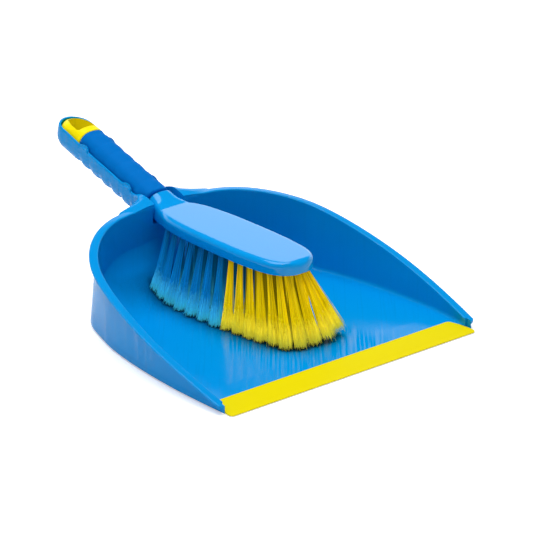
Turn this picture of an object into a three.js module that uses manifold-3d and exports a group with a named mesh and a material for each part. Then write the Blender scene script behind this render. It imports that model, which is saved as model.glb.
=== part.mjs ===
// Dustpan with a nesting hand brush. Millimetres, +Z up, the pan's mouth faces -Y,
// the handles run towards +Y, and the origin lies on the flat underside of the pan.
// Lengths called y below are measured back from the lip's front edge; at() moves them
// to the origin. The two handles share one sloping axis, see onAxis().
import * as THREE from 'three';
import Module from 'manifold-3d';
import { mergeVertices } from 'three/addons/utils/BufferGeometryUtils.js';

// ---------------------------------------------------------------- driving dimensions
const ORIGIN_Y = 110;        // distance from the lip's front edge to the origin
const GAP = 0.3;             // gap between neighbouring pieces

// pan
const FLOOR_TOP = 2.8;       // top of the flat floor
const WALL = 2.2;            // wall thickness of the pan moulding
const FLANGE_OVER = 4.2;     // how far the rim flange stands out from the wall
const FLANGE_T = 2.0;        // flange thickness
const CREASE_Y = 36;         // where the floor starts to ramp down to the lip
const RAMP_DROP = 0.7;       // fall of that ramp at the back of the lip
const RAMP_EASE = 0.999;     // ramp fall is scaled by this in front of the lip's back edge
const BODY_FRONT = 6.2;      // front end of the pan moulding
const OUTLINE_STEPS = 34;    // steps along each half outline

// lip, and the pan tongue under it
const LIP_DEPTH = 23;        // front to back
const LIP_BOTTOM = 0.25;
const LIP_FRONT_T = 0.9;     // lip top at its front edge
const LIP_BACK_T = 2.45;     // lip top at its back edge
const TONGUE_T = 0.7;
const TONGUE_FRONT = 10.5;
const TONGUE_WIDTH = 220.6;  // width over which the tongue's front is trimmed

// handle axis
const SLOPE = 16.9 * Math.PI / 180;   // above horizontal
const COS = Math.cos(SLOPE), SIN = Math.sin(SLOPE);
const SPINE_Y = 258, SPINE_Z = 70;    // the point from which the axis is measured
const LOBE_PITCH = 12.7;     // finger lobes
const LOBE_PHASE = -2.0;     // axis position of one groove
const LOBE_DEPTH = 1.4;      // groove depth in the pan handle
const RIPPLE_DEPTH = 0.55;   // groove depth in the sleeve

// pan handle channel and the notch in the rear wall
const CHAN_HW = 13.4;        // half width
const CHAN_BOTTOM = 12.2;    // depth below the axis
const CHAN_T = 1.6;          // wall
const CHAN_TIP = 72.4;       // end along the axis
const TIP_LEN = 14.5;        // length of the rounded end
const CHAN_ARC_STEPS = 6;    // steps from side to bottom
const NOTCH_HW = 13.3;
const SILL_Z = 50.3;         // sill of the notch

// brush handle
const GRIP_HW = 11.5;        // half width
const GRIP_TOP = 13.5;       // above the axis
const GRIP_BOTTOM = 9.0;     // below the axis
const GRIP_T = 2.4;          // soft sleeve thickness
const GRIP_START = -41.0;    // sleeve start on the axis
const GRIP_END = 40.0;       // sleeve end on the axis
const CAP_TIP = 69.8;        // end of the hang cap
const CORE_END = 43.5;       // end of the moulded core inside the cap
const HANDLE_MIN_Z = SILL_Z + 0.45;   // the handle's underside stays above the sill
const SKIN_SIDES = 22;       // sides of the visible handle sections
const CORE_SIDES = 16;       // sides of the core and bore sections
const EYE_CORNER_R = 2.2;

// brush block and tufts
const BLOCK_TOP = 63.9, BLOCK_BOTTOM = 54.6;
const BLOCK_HW = 23.5;
const BLOCK_NOSE = 57.3;     // front end of the block
const NOSE_LEN = 20;         // length of the rounded front end
const NOSE_FALL_LEN = 5.2;   // length over which the top falls at the front
const NOSE_FALL = 4.6;
const EDGE_R = 4.3;          // rounding of the block's upper edge
const HOLE_R = 2.45;         // tuft hole radius
const HOLE_TOP = 61.3;       // tuft hole depth limit
const HOLE_CUT_Z = 40;       // the hole cutters start below the block
const HOLE_SIDES = 10;
const TUFT_LEN = 51.8;       // bristle length below the block
const TUFT_R = 2.1;          // tuft root radius
const TUFT_SIDES = 8;
const TUFT_FLOOR_GAP = 0.7;  // least height of a tip over the pan floor

// ---------------------------------------------------------------- points and curves
const { smoothstep } = THREE.MathUtils;
const at = (x, y, z) => new THREE.Vector3(x, y - ORIGIN_Y, z);
// x across, then the distance along the handle axis and the height square to it
const onAxis = (x, along, up) =>
  at(x, SPINE_Y + along * COS - up * SIN, SPINE_Z + along * SIN + up * COS);

// linear interpolation in a table of [position, value], held constant past its ends
function lerpTable(table, position) {
  if (position <= table[0][0]) return table[0][1];
  for (let i = 1; i < table.length; i++) {
    const [start, from] = table[i - 1];
    const [end, to] = table[i];
    if (position <= end) return from + (to - from) * (position - start) / (end - start);
  }
  return table[table.length - 1][1];
}

const signedPow = (value, power) => Math.sign(value) * Math.pow(Math.abs(value), power);
const superellipse = (angle, power) =>
  [signedPow(Math.cos(angle), 2 / power), signedPow(Math.sin(angle), 2 / power)];

// right half of [x, other] points, then its mirror image; centre points are not repeated
const withLeftHalf = right => right.concat(
  right.filter(([x]) => x !== 0).reverse().map(([x, other]) => [-x, other]));

// 1 in a finger groove, 0 on the back of a lobe
function groove(along) {
  const pitches = (along - LOBE_PHASE) / LOBE_PITCH;
  const offCentre = Math.abs(pitches - Math.round(pitches)) * 2;
  const fade = smoothstep(along, -34, -26) * (1 - smoothstep(along, 36, 44));
  return Math.pow(1 - offCentre, 2.2) * fade;
}

// axis positions at the given fractions of each lobe, between two limits
function lobeStations(fractions, from, to) {
  const stations = [];
  for (let i = -2; i <= 3; i++) {
    for (const fraction of fractions) stations.push(LOBE_PHASE + (i + fraction) * LOBE_PITCH);
  }
  return stations.filter(along => along > from && along < to);
}

// narrowing of a section towards an elliptically rounded tip
const tipFactor = (along, tip, length) => along <= tip - length
  ? 1 : Math.sqrt(Math.max(0.0016, 1 - Math.pow((along - tip + length) / length, 2)));

// ---------------------------------------------------------------- solids
const wasm = await Module();
wasm.setup();

function solid(geometry) {
  geometry.deleteAttribute('normal');
  geometry.deleteAttribute('uv');
  const merged = mergeVertices(geometry, 1e-4);
  const vertProperties = new Float32Array(merged.attributes.position.array);
  const build = indices => new wasm.Manifold(new wasm.Mesh({
    numProp: 3, vertProperties, triVerts: new Uint32Array(indices) }));
  const indices = Array.from(merged.index.array);
  const result = build(indices);
  if (result.volume() >= 0) return result;
  for (let i = 0; i < indices.length; i += 3) {
    [indices[i + 1], indices[i + 2]] = [indices[i + 2], indices[i + 1]];
  }
  return build(indices);
}

function solidOf(points, triangles) {
  const geometry = new THREE.BufferGeometry();
  const coordinates = points.flatMap(p => [p.x, p.y, p.z]);
  geometry.setAttribute('position', new THREE.Float32BufferAttribute(coordinates, 3));
  geometry.setIndex(triangles.flat());
  return solid(geometry);
}

// side triangles joining consecutive closed rings of equal size
function sideTriangles(ringCount, size) {
  const triangles = [];
  for (let i = 0; i + 1 < ringCount; i++) {
    for (let j = 0; j < size; j++) {
      const a = i * size + j;
      const b = i * size + (j + 1) % size;
      triangles.push([a, b, b + size], [a, b + size, a + size]);
    }
  }
  return triangles;
}

// planes in which the end rings of a loft are triangulated
const frontView = p => new THREE.Vector2(p.x, p.z);
const topView = p => new THREE.Vector2(p.x, p.y);
const axisView = p => new THREE.Vector2(p.x, p.z * COS - p.y * SIN);

// closed loft through rings of equal length
function loft(rings, view = frontView) {
  const size = rings[0].length;
  const triangles = sideTriangles(rings.length, size);
  const closeEnd = (ringIndex, flip) => {
    const flat = rings[ringIndex].map(view);
    const clockwise = THREE.ShapeUtils.area(flat) < 0;
    const order = flat.map((_, i) => i);
    if (clockwise) order.reverse();
    for (const face of THREE.ShapeUtils.triangulateShape(order.map(i => flat[i]), [])) {
      const triangle = face.map(i => ringIndex * size + order[i]);
      if (clockwise !== flip) triangle.reverse();
      triangles.push(triangle);
    }
  };
  closeEnd(0, true);
  closeEnd(rings.length - 1, false);
  return solidOf(rings.flat(), triangles);
}

// vertical prism from [x, y] outline points
function prism(outline, bottom, top) {
  const shape = new THREE.Shape(outline.map(([x, y]) => new THREE.Vector2(x, y - ORIGIN_Y)));
  const geometry = new THREE.ExtrudeGeometry(shape, { depth: top - bottom, bevelEnabled: false });
  geometry.translate(0, 0, bottom);
  return solid(geometry);
}

// box centred on x = 0, given by its front and top faces
function box({ width, depth, height, front, top }) {
  const geometry = new THREE.BoxGeometry(width, depth, height);
  geometry.translate(0, front + depth / 2 - ORIGIN_Y, top - height / 2);
  return solid(geometry);
}

// solid between a height field and a flat level
function field(xs, ys, height, level) {
  const countX = xs.length, countY = ys.length;
  const points = [], triangles = [];
  for (const y of ys) for (const x of xs) points.push(at(x, y, height(x, y)));
  for (const y of ys) for (const x of xs) points.push(at(x, y, level));
  const id = (i, j, layer) => layer * countX * countY + j * countX + i;
  const quad = (a, b, c, d) => triangles.push([a, b, c], [a, c, d]);
  const side = (i, j, nextI, nextJ) =>
    quad(id(i, j, 0), id(nextI, nextJ, 0), id(nextI, nextJ, 1), id(i, j, 1));
  for (let j = 0; j + 1 < countY; j++) {
    for (let i = 0; i + 1 < countX; i++) {
      quad(id(i, j, 0), id(i, j + 1, 0), id(i + 1, j + 1, 0), id(i + 1, j, 0));
      quad(id(i, j, 1), id(i + 1, j, 1), id(i + 1, j + 1, 1), id(i, j + 1, 1));
    }
  }
  for (let i = 0; i + 1 < countX; i++) {
    side(i, 0, i + 1, 0);
    side(i + 1, countY - 1, i, countY - 1);
  }
  for (let j = 0; j + 1 < countY; j++) {
    side(0, j + 1, 0, j);
    side(countX - 1, j, countX - 1, j + 1);
  }
  return solidOf(points, triangles);
}

// ---------------------------------------------------------------- pan outlines
// half outlines, front corner to rear centre: [x, y]
const RIM = [
  [114.2, 4.2], [116.4, 30.5], [117.5, 55.6], [117.2, 79.9], [115.2, 103.6], [111.6, 126.2],
  [107, 145.7], [101.2, 161.6], [92.2, 176.3], [79.6, 189.9], [64.8, 200.3], [49.7, 206.5],
  [35.6, 209.1], [17, 210.0], [0, 210.2]];
const FOOT = [
  [111.6, 4.2], [112.0, 30], [112.0, 57], [109.7, 94], [106.2, 122], [102.2, 142], [96.4, 160.5],
  [89.0, 180.4], [74.4, 196.9], [57.2, 207.6], [38.6, 213.4], [20, 215.6], [0, 216.5]];
const rimHeight = y => 4.15 + 0.322 * y - 0.00017 * y * y;

const mirrored = half => half.concat(
  half.slice(0, -1).reverse().map(p => new THREE.Vector3(-p.x, p.y, p.z)));

// evenly spaced points on a smooth curve through a half outline
function halfCurve(outline) {
  const points = mirrored(outline.map(([x, y]) => new THREE.Vector3(x, y, 0)));
  const curve = new THREE.CatmullRomCurve3(points, false, 'centripetal');
  curve.arcLengthDivisions = 600;
  return Array.from({ length: OUTLINE_STEPS + 1 },
    (_, i) => curve.getPointAt(i / OUTLINE_STEPS / 2));
}

function offsetIn(half, distance) {
  const full = mirrored(half);
  return half.map((p, i) => {
    const along = full[i + 1].clone().sub(full[Math.max(i - 1, 0)]).normalize();
    return new THREE.Vector3(p.x - along.y * distance, p.y + along.x * distance, 0);
  });
}

const atLevel = (half, z) => half.map(p => new THREE.Vector3(p.x, p.y, z));
const atRim = (half, drop = 0) =>
  half.map(p => new THREE.Vector3(p.x, p.y, rimHeight(p.y) - drop));
// carries a half outline straight forward, out through the mouth
const throughMouth = half => [new THREE.Vector3(half[0].x, -40, half[0].z), ...half];

const rimEdge = halfCurve(RIM);
const wallTop = offsetIn(rimEdge, FLANGE_OVER);
const foot = halfCurve(FOOT);

// solid bounded by stacked half outlines and their mirror images
function stack(levels) {
  const rings = levels.map(mirrored);
  const size = rings[0].length;
  const triangles = sideTriangles(rings.length, size);
  const closeLevel = (level, flip) => {
    const first = level * size;
    const add = (a, b, c) => triangles.push(flip ? [a, c, b] : [a, b, c]);
    for (let j = 0; j < (size - 1) / 2; j++) {
      const right = first + j;
      const left = first + size - 1 - j;
      if (right + 1 === left - 1) {
        add(right, right + 1, left);
      } else {
        add(right, right + 1, left - 1);
        add(right, left - 1, left);
      }
    }
  };
  closeLevel(0, true);
  closeLevel(rings.length - 1, false);
  return solidOf(rings.flat().map(p => at(p.x, p.y, p.z)), triangles);
}

// ---------------------------------------------------------------- pan shell
// filled outer shape, with a small rounded foot
function panOuter() {
  const top = atRim(wallTop, 0.4);
  const aboveFoot = atLevel(foot, 0).map((p, i) => p.lerp(top[i], 0.045));
  return stack([
    atLevel(offsetIn(foot, 1.3), 0), atLevel(offsetIn(foot, 0.35), 0.6), aboveFoot, top]);
}

// ramp at the mouth, flat middle, concave sweep up the rear wall
function floorHeight(x, y) {
  if (y < CREASE_Y) {
    const fall = RAMP_DROP * (CREASE_Y - y) / (CREASE_Y - LIP_DEPTH);
    return FLOOR_TOP - fall * (y < LIP_DEPTH ? RAMP_EASE : 1);
  }
  const sweepStart = 165 - 0.0016 * x * x;
  const sweepLength = 46;
  const sweepRise = 45 + 9.6 * Math.exp(-Math.pow(x / 18, 2));   // higher at the centre
  if (y <= sweepStart) return FLOOR_TOP;
  const progress = Math.min((y - sweepStart) / sweepLength, 0.995);
  return FLOOR_TOP + sweepRise * (1 - Math.sqrt(1 - progress * progress));
}

const CAVITY_X = [
  -125, -88, -74, -60, -46, -32, -20, -10, 0, 10, 20, 32, 46, 60, 74, 88, 125];
const CAVITY_Y = [
  -45, LIP_DEPTH, CREASE_Y, 152, 158, 164, 170, 176, 182, 188, 193, 198, 202, 206, 209, 214, 222];
const CAVITY_TOP = 130;

// space inside the walls and above the floor, open upwards and through the mouth
function panCavity() {
  const low = offsetIn(foot, WALL);
  const rim = atRim(offsetIn(rimEdge, FLANGE_OVER + WALL));
  const top = rim.map((p, i) => new THREE.Vector3(
    p.x + (p.x - low[i].x) * 0.3,
    p.y < 150 ? p.y : p.y - (low[i].y - p.y),
    CAVITY_TOP));
  const hollow = stack([atLevel(low, -6), rim, top].map(throughMouth));
  return hollow.intersect(field(CAVITY_X, CAVITY_Y, floorHeight, CAVITY_TOP + 1));
}

const POCKET_X = [-84, -74, -60, -46, -32, -16, 0, 16, 32, 46, 60, 74, 84];
const POCKET_Y = [174, 180, 186, 192, 197, 201, 205, 209, 222];

// open pocket under the raised rear of the floor
function rearPocket() {
  const low = offsetIn(foot, 2.4);
  const skirt = stack(
    [atLevel(low, -6), atLevel(low, 0), atRim(offsetIn(wallTop, 2.5))].map(throughMouth));
  const underFloor = (x, y) => Math.min(floorHeight(x, y) - 2.5, 44);
  return skirt.intersect(field(POCKET_X, POCKET_Y, underFloor, -2));
}

// rim flange section: [distance out from the wall top, height over the rim]
const FLANGE_SECTION = [
  [FLANGE_OVER - 0.45, -0.1], [FLANGE_OVER, -0.75], [FLANGE_OVER - 0.1, -1.6],
  [FLANGE_OVER - 0.8, -FLANGE_T - 0.1], [-0.9, -FLANGE_T - 0.5], [-WALL + 0.02, -1.4],
  [-WALL + 0.3, -0.35], [-WALL + 1.0, 0]];

// the section swept round the U of the rim
function rimFlange() {
  const walls = mirrored(wallTop);
  return loft(mirrored(rimEdge).map((edge, i) => {
    const wall = walls[i];
    const out = edge.clone().sub(wall).normalize();
    return FLANGE_SECTION.map(([distance, height]) => at(
      wall.x + out.x * distance, wall.y + out.y * distance, rimHeight(edge.y) + height));
  }));
}

// ---------------------------------------------------------------- pan handle channel
// upper edge of the channel sides: [along the axis, height above it]
const CHAN_EDGE = [
  [-60, 10.8], [-55, 11.8], [-50, 12.3], [-45, 12.3], [-41.5, 11.9], [-38.5, 10.9], [-35, 8.7],
  [-31.5, 5.9], [-28.5, 4.9], [-26.0, 4.8], [-25.5, 5.8], [-25.0, 7.1], [-23.8, 8.1], [-22, 8.6],
  [-19.5, 8.4], [-17.5, 7.6], [-15.6, 6.4], [-14, 5.8], [-12, 5.6], [5, 5.6], [24, 5.3],
  [26.6, 5.4], [27.1, 6.4], [27.7, 7.4], [29.0, 8.4], [31.5, 8.7], [33.5, 8.3], [35.5, 7.2],
  [37.5, 6.2], [39.5, 5.8], [47, 6.1], [55, 6.4], [63, 6.0], [68, 5.6], [72.5, 5.2]];
// sideways flare of that edge at the rear wall: [along the axis, extra half width]
const FLARE = [
  [-60, 36], [-47, 26], [-45, 17], [-43.5, 11.5], [-42, 7.5], [-40, 4.3], [-37, 2.0],
  [-33, 0.5], [-30, 0]];
// how far the flare drops outwards: [along the axis, drop]
const FLARE_DROP = [
  [-60, 4.0], [-50, 4.4], [-46, 4.4], [-43, 3.4], [-40, 1.8], [-36, 0.7], [-32, 0.25],
  [-20, 0.25]];
const CHAN_STATIONS = [
  -60, -50, -47, -45, -43.5, -42, -40, -38.5, -35, -31.5, -28.5, -26.0, -25.4, -25.0, -23.8,
  ...lobeStations([0, 0.16, 0.5, 0.84], -25, 40),
  -22, -19.5, -15.6, -14, 26.6, 27.2, 27.9, 29, 31.5, 33.5, 35.5, 37.5, 40, 45, 51.4,
  CHAN_TIP - TIP_LEN, 60.5, 63, 65.4, 67.6, 69.4, 70.9, 71.9, CHAN_TIP]
  .sort((a, b) => a - b)
  .filter((along, i, all) => i === 0 || along - all[i - 1] > 0.3);

// the raised ears on the channel sides thin towards their tops on the outside
const earLean = (along, up) =>
  along > -27 && along < 38 ? 0.85 * smoothstep(up, 6.0, 8.4) : 0;

function channelRing(along) {
  const narrow = tipFactor(along, CHAN_TIP, TIP_LEN);
  const shallow = Math.pow(narrow, 0.9);
  const edge = lerpTable(CHAN_EDGE, along);
  const flare = lerpTable(FLARE, along);
  const low = edge - lerpTable(FLARE_DROP, along);
  const lean = earLean(along, edge);
  const inner = (CHAN_HW - CHAN_T) * narrow;
  const right = [
    [inner, edge],
    [inner + (1.2 - lean) * narrow + flare * 0.55, edge - (edge - low) * 0.45],
    [(CHAN_HW - lean) * narrow + flare, low - 0.5],
    [CHAN_HW * narrow + flare, low - 1.6 - 0.3 * Math.min(flare, 2)],
    [CHAN_HW * narrow * 1.002 + flare * 0.15, low - 2.6 - Math.min(flare, 3) * 0.5]];
  const arcTop = 1.0;        // the rounded underside starts this far above the axis
  for (let i = 0; i <= CHAN_ARC_STEPS; i++) {
    const [across, down] = superellipse((i / CHAN_ARC_STEPS) * Math.PI / 2, 2.7);
    const dent = LOBE_DEPTH * groove(along) * smoothstep(down, 0.0, 0.75);
    const x = i === CHAN_ARC_STEPS ? 0 : Math.max((CHAN_HW - dent) * narrow * across, 0.02);
    right.push([x, arcTop - (CHAN_BOTTOM + arcTop - dent) * shallow * down]);
  }
  return withLeftHalf(right).map(([x, up]) => onAxis(x, along, up));
}

const CLEAR_TIP = CHAN_TIP - CHAN_T;
const CLEAR_TIP_LEN = TIP_LEN - 1;
const CLEAR_TOP = 26;
const CLEAR_STATIONS = [
  -74, -40, -38, -36.5, -35, -33, 0, 30, 50, CLEAR_TIP - CLEAR_TIP_LEN,
  59.5, 62, 64.5, 66.5, 68.2, 69.4, 70.2, CLEAR_TIP];

function clearanceRing(along) {
  const narrow = tipFactor(along, CLEAR_TIP, CLEAR_TIP_LEN);
  const inner = CHAN_HW - CHAN_T;
  const halfWidth = (inner + (NOTCH_HW - inner) * smoothstep(-along, 33, 40)) * narrow;
  const bottom = -(GRIP_BOTTOM + GAP + 0.1) * Math.pow(narrow, 0.8);
  const right = [[halfWidth, CLEAR_TOP], [halfWidth, 0]];
  for (let i = 1; i <= 4; i++) {
    const [across, down] = superellipse((i / 5) * Math.PI / 2, 2.5);
    right.push([halfWidth * across, bottom * down]);
  }
  right.push([0, bottom]);
  return withLeftHalf(right).map(([x, up]) => onAxis(x, along, up));
}

// room for the brush handle in the channel, and the notch through the rear wall
function handleClearance() {
  const sill = box({ width: 60, depth: 60, height: 200, front: 175, top: SILL_Z });
  return loft(CLEAR_STATIONS.map(clearanceRing), axisView).subtract(sill);
}

// ---------------------------------------------------------------- lip
// right half of the lip outline, back to front: [x, y]
const LIP_HALF = [
  [104.2, LIP_DEPTH], [105.6, 22.4], [106.4, 21.0], [107.8, 15], [109.2, 8.5], [109.9, 4.2],
  [109.7, 1.9], [108.6, 0.5], [107.0, 0]];

// lip outline grown sideways, and at its front and back edges
function lipOutline(grow) {
  const growY = y => (y > 20 ? y + grow : y < 1 ? y - grow : y);
  return withLeftHalf(LIP_HALF.map(([x, y]) => [x + grow, growY(y)]));
}

function makeLip() {
  const topHeight = (_, y) =>
    LIP_FRONT_T + (LIP_BACK_T - LIP_FRONT_T) * Math.max(y, 0) / LIP_DEPTH;
  const aboveTop = field([-130, 130], [-10, 0, LIP_DEPTH, 40], topHeight, 20);
  const tongueRoom = box({
    width: 240, depth: 60, height: 4, front: TONGUE_FRONT - GAP, top: TONGUE_T + GAP });
  return prism(lipOutline(0), LIP_BOTTOM, 6).subtract(aboveTop).subtract(tongueRoom);
}

// ---------------------------------------------------------------- pan
// right half of the plan limits, back to front, with the rounded front corner: [x, y]
const PAN_LIMITS = [
  [140, 420], [140, 30], [117.6, 19], [117.2, 13.6], [115.6, 9.6], [113.0, 7.2],
  [109, BODY_FRONT]];

function makePan() {
  const lipSeat = prism(lipOutline(GAP), TONGUE_T, 8);
  const beforeTongue = box({
    width: TONGUE_WIDTH, depth: 20, height: 20, front: TONGUE_FRONT - 20, top: 10 });
  return panOuter()
    .add(rimFlange())
    .add(loft(CHAN_STATIONS.map(channelRing), axisView))
    .subtract(panCavity())
    .subtract(rearPocket())
    .subtract(handleClearance())
    .intersect(prism(withLeftHalf(PAN_LIMITS), -20, 200))
    .subtract(lipSeat)
    .subtract(beforeTongue);
}

// ---------------------------------------------------------------- brush handle sections
// superellipse section; powers are those of its upper and lower halves
function handleRing(along, {
  halfWidth, top, bottom, sides = SKIN_SIDES, powers = [2.8, 2.5], minZ = -Infinity,
}) {
  return Array.from({ length: sides }, (_, i) => {
    const angle = Math.PI / 2 - i / sides * 2 * Math.PI;
    const [across, rise] = superellipse(angle, Math.sin(angle) > 0 ? powers[0] : powers[1]);
    const up = rise * (rise >= 0 ? top : bottom);
    const z = SPINE_Z + along * SIN + up * COS;
    const limited = z < minZ ? (minZ - SPINE_Z - along * SIN) / COS : up;
    return onAxis(halfWidth * across, along, limited);
  });
}

// solid inside the handle, inset from its surface
function handleInside(stations, inset) {
  return loft(stations.map(along => handleRing(along, {
    halfWidth: GRIP_HW - inset,
    top: GRIP_TOP - inset,
    bottom: GRIP_BOTTOM - inset,
    sides: CORE_SIDES,
    powers: [2.5, 2.5],
    minZ: HANDLE_MIN_Z + inset,
  })), axisView);
}

// ---------------------------------------------------------------- brush block, neck and core
const BLOCK_WIDTH = [   // [y, half width]
  [57, 20.6], [64, 19.9], [69, 19.9], [75, 20.3], [80, 21.2], [87, 22.0], [100, 23.1],
  [123, BLOCK_HW], [150, 23.2], [163, 22.5], [170, 21.8], [176, 21.1], [184, 19.8]];
const NOSE_ANGLES = [4, 12, 22, 33, 45, 58, 73, 90];   // degrees round the front end
const BLOCK_Y = [82, 88, 95, 102, 112, 123, 137, 150, 158, 164, 170, 176, 180, 184];
const BLOCK_REAR = [    // [y, half width, bottom, top]
  [189, 18.0, 54.2, BLOCK_TOP], [193, 16.2, 53.2, BLOCK_TOP], [197, 14.4, 52.0, 64.0],
  [201, 13.1, 51.0, 65.3], [206, 12.1, 50.8, 67.0]];
const NECK = [          // [along the axis, half width, top, bottom]
  [-57.5, 12.6, 11.6, 3.0], [-52, 12.1, 12.4, 6.0], [-47, 11.7, 12.6, 7.4],
  [GRIP_START - GAP, 11.3, 12.8, 8.0]];

function noseStation(degrees) {
  const angle = degrees * Math.PI / 180;
  const y = BLOCK_NOSE + NOSE_LEN * (1 - Math.cos(angle));
  const short = 1 - Math.min((y - BLOCK_NOSE) / NOSE_FALL_LEN, 1);
  const fall = NOSE_FALL * (1 - Math.sqrt(1 - short * short));
  const halfWidth = lerpTable(BLOCK_WIDTH, y) * Math.pow(Math.sin(angle), 0.98);
  return [y, halfWidth, BLOCK_BOTTOM, BLOCK_TOP - fall];
}

function blockRing([y, halfWidth, bottom, top]) {
  const upperR = Math.min(EDGE_R, halfWidth * 0.6, (top - bottom) * 0.5);
  const lowerR = Math.min(0.8, halfWidth * 0.2);
  const flat = Math.max(halfWidth - upperR, 0.01);
  const right = [[0, top], [flat * 0.75, top - 0.04]];
  for (let i = 0; i <= 4; i++) {
    const angle = i / 4 * Math.PI / 2;
    right.push([
      flat + upperR * Math.sin(angle), top - 0.1 - upperR + upperR * Math.cos(angle)]);
  }
  right.push(
    [halfWidth, bottom + lowerR * 1.4],
    [halfWidth - lowerR * 0.35, bottom + lowerR * 0.35],
    [halfWidth - lowerR * 1.3, bottom],
    [0, bottom]);
  return withLeftHalf(right).map(([x, z]) => at(x, y, z));
}

function tuftHole({ x, y }) {
  const radius = HOLE_R / Math.cos(Math.PI / HOLE_SIDES);   // flats lie at HOLE_R
  const geometry = new THREE.CylinderGeometry(radius, radius, HOLE_TOP - HOLE_CUT_Z, HOLE_SIDES);
  geometry.rotateX(Math.PI / 2);
  geometry.translate(x, y - ORIGIN_Y, (HOLE_TOP + HOLE_CUT_Z) / 2);
  return solid(geometry);
}

function makeBlock(roots) {
  const body = loft([
    ...NOSE_ANGLES.map(noseStation),
    ...BLOCK_Y.map(y => [y, lerpTable(BLOCK_WIDTH, y), BLOCK_BOTTOM, BLOCK_TOP]),
    ...BLOCK_REAR].map(blockRing));
  const neck = loft(NECK.map(([along, halfWidth, top, bottom]) => handleRing(along, {
    halfWidth, top, bottom, powers: [2.8, 2.3], minZ: HANDLE_MIN_Z })), axisView);
  const core = handleInside([-50, GRIP_START, -20, 10, GRIP_END, CORE_END], GRIP_T + GAP);
  const holes = roots.map(tuftHole).reduce((all, hole) => all.add(hole));
  return body.add(neck).add(core).subtract(holes);
}

// ---------------------------------------------------------------- soft sleeve and hang cap
const SLEEVE_STATIONS = [
  GRIP_START, GRIP_START + 1.2, -36, -30,
  ...lobeStations([0, 0.25, 0.5, 0.75], -27.5, GRIP_END - 1.5), GRIP_END];
const CAP_STATIONS = [
  GRIP_END + GAP, 45, 50, 54, 57.5, 60, 62.5, 65, 67, 68.6, 69.5, CAP_TIP];
const CAP_TOP = [       // [along the axis, height above it]
  [40, GRIP_TOP], [50, 12.9], [54, 12.1], [58, 10.7], [62, 9.3], [66, 8.3], [70, 7.2]];
const EYE = [           // corners of the hole through the cap: [x, along the axis]
  [-8.5, 46.5], [8.5, 46.5], [7.5, 56.5], [3.4, 66.0], [-3.4, 66.0], [-7.5, 56.5]];

// room for the core in the sleeve and the cap
const coreBore = () => handleInside(
  [GRIP_START - 3, GRIP_START, -20, 10, GRIP_END, CORE_END + GAP], GRIP_T);

function makeSleeve() {
  const rings = SLEEVE_STATIONS.map(along => {
    const edge = along === GRIP_START ? 0.5 : 0;   // eased front edge
    const ripple = RIPPLE_DEPTH * groove(along);
    return handleRing(along, {
      halfWidth: GRIP_HW - edge - ripple,
      top: GRIP_TOP - edge - ripple * 0.8,
      bottom: GRIP_BOTTOM - edge,
      minZ: HANDLE_MIN_Z,
    });
  });
  return loft(rings, axisView).subtract(coreBore());
}

// counter-clockwise polygon with its corners rounded
function roundedOutline(corners, radius) {
  const points = corners.map(corner => new THREE.Vector2(...corner));
  const count = points.length;
  return points.flatMap((corner, i) => {
    const toPrevious = points[(i + count - 1) % count].clone().sub(corner).normalize();
    const toNext = points[(i + 1) % count].clone().sub(corner).normalize();
    const half = Math.acos(toPrevious.dot(toNext)) / 2;
    const reach = radius / Math.tan(half);
    const centre = toPrevious.clone().add(toNext).normalize()
      .multiplyScalar(radius / Math.sin(half)).add(corner);
    const angleTo = direction => {
      const touch = corner.clone().addScaledVector(direction, reach).sub(centre);
      return Math.atan2(touch.y, touch.x);
    };
    const start = angleTo(toPrevious);
    let end = angleTo(toNext);
    while (end < start) end += 2 * Math.PI;
    return Array.from({ length: 5 }, (_, k) => {
      const angle = start + (end - start) * k / 4;
      return new THREE.Vector2(
        centre.x + radius * Math.cos(angle), centre.y + radius * Math.sin(angle));
    });
  });
}

function hangEye() {
  const shape = new THREE.Shape(roundedOutline(EYE, EYE_CORNER_R));
  const depth = 60;
  const geometry = new THREE.ExtrudeGeometry(shape, { depth, bevelEnabled: false });
  geometry.translate(0, 0, -depth / 2);
  geometry.applyMatrix4(
    new THREE.Matrix4().makeRotationX(SLOPE).setPosition(0, SPINE_Y - ORIGIN_Y, SPINE_Z));
  return solid(geometry);
}

function makeCap() {
  const rings = CAP_STATIONS.map(along => {
    const narrow = tipFactor(along, CAP_TIP, TIP_LEN - 2.2);
    return handleRing(along, {
      halfWidth: GRIP_HW * narrow,
      top: lerpTable(CAP_TOP, along) * Math.pow(narrow, 0.35),
      bottom: GRIP_BOTTOM * Math.pow(narrow, 0.7),
    });
  });
  return loft(rings, axisView).subtract(coreBore()).subtract(hangEye());
}

// ---------------------------------------------------------------- tufts
// right half, from the handle end: [root x, root y, tip offset in x, tip offset in y]
const OUTER_TUFTS = [
  [16.0, 184.2, 9.7, 2.6], [17.6, 174.2, 8.5, 5.4], [18.2, 164.4, 7.1, 6.6],
  [18.4, 154.2, 7.4, 4.9], [18.3, 143.8, 8.3, 2.1], [18.2, 133.4, 7.3, 0.9],
  [18.2, 122.4, 7.1, -0.9], [18.0, 111.8, 4.8, -0.9], [17.6, 102.5, 4.1, -2.4],
  [16.9, 93.4, 3.4, -3.9], [15.7, 84.7, 2.7, -5.7], [13.9, 76.6, 2.1, -8.0]];
const INNER_TUFTS = [
  [6.2, 179.2, 2.8, 4.0], [6.2, 169.5, 2.4, 5.6], [6.2, 159.4, 2.2, 5.2],
  [6.2, 149.0, 2.5, 3.2], [6.2, 138.5, 2.5, 1.3], [6.2, 127.8, 2.3, 0.0],
  [6.2, 117.2, 1.9, -0.9], [6.2, 107.2, 1.4, -1.6], [6.2, 98.0, 1.2, -3.0],
  [6.2, 89.1, 1.2, -4.6], [6.2, 80.8, 1.6, -6.4], [6.2, 73.4, 1.0, -8.6]];
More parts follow.
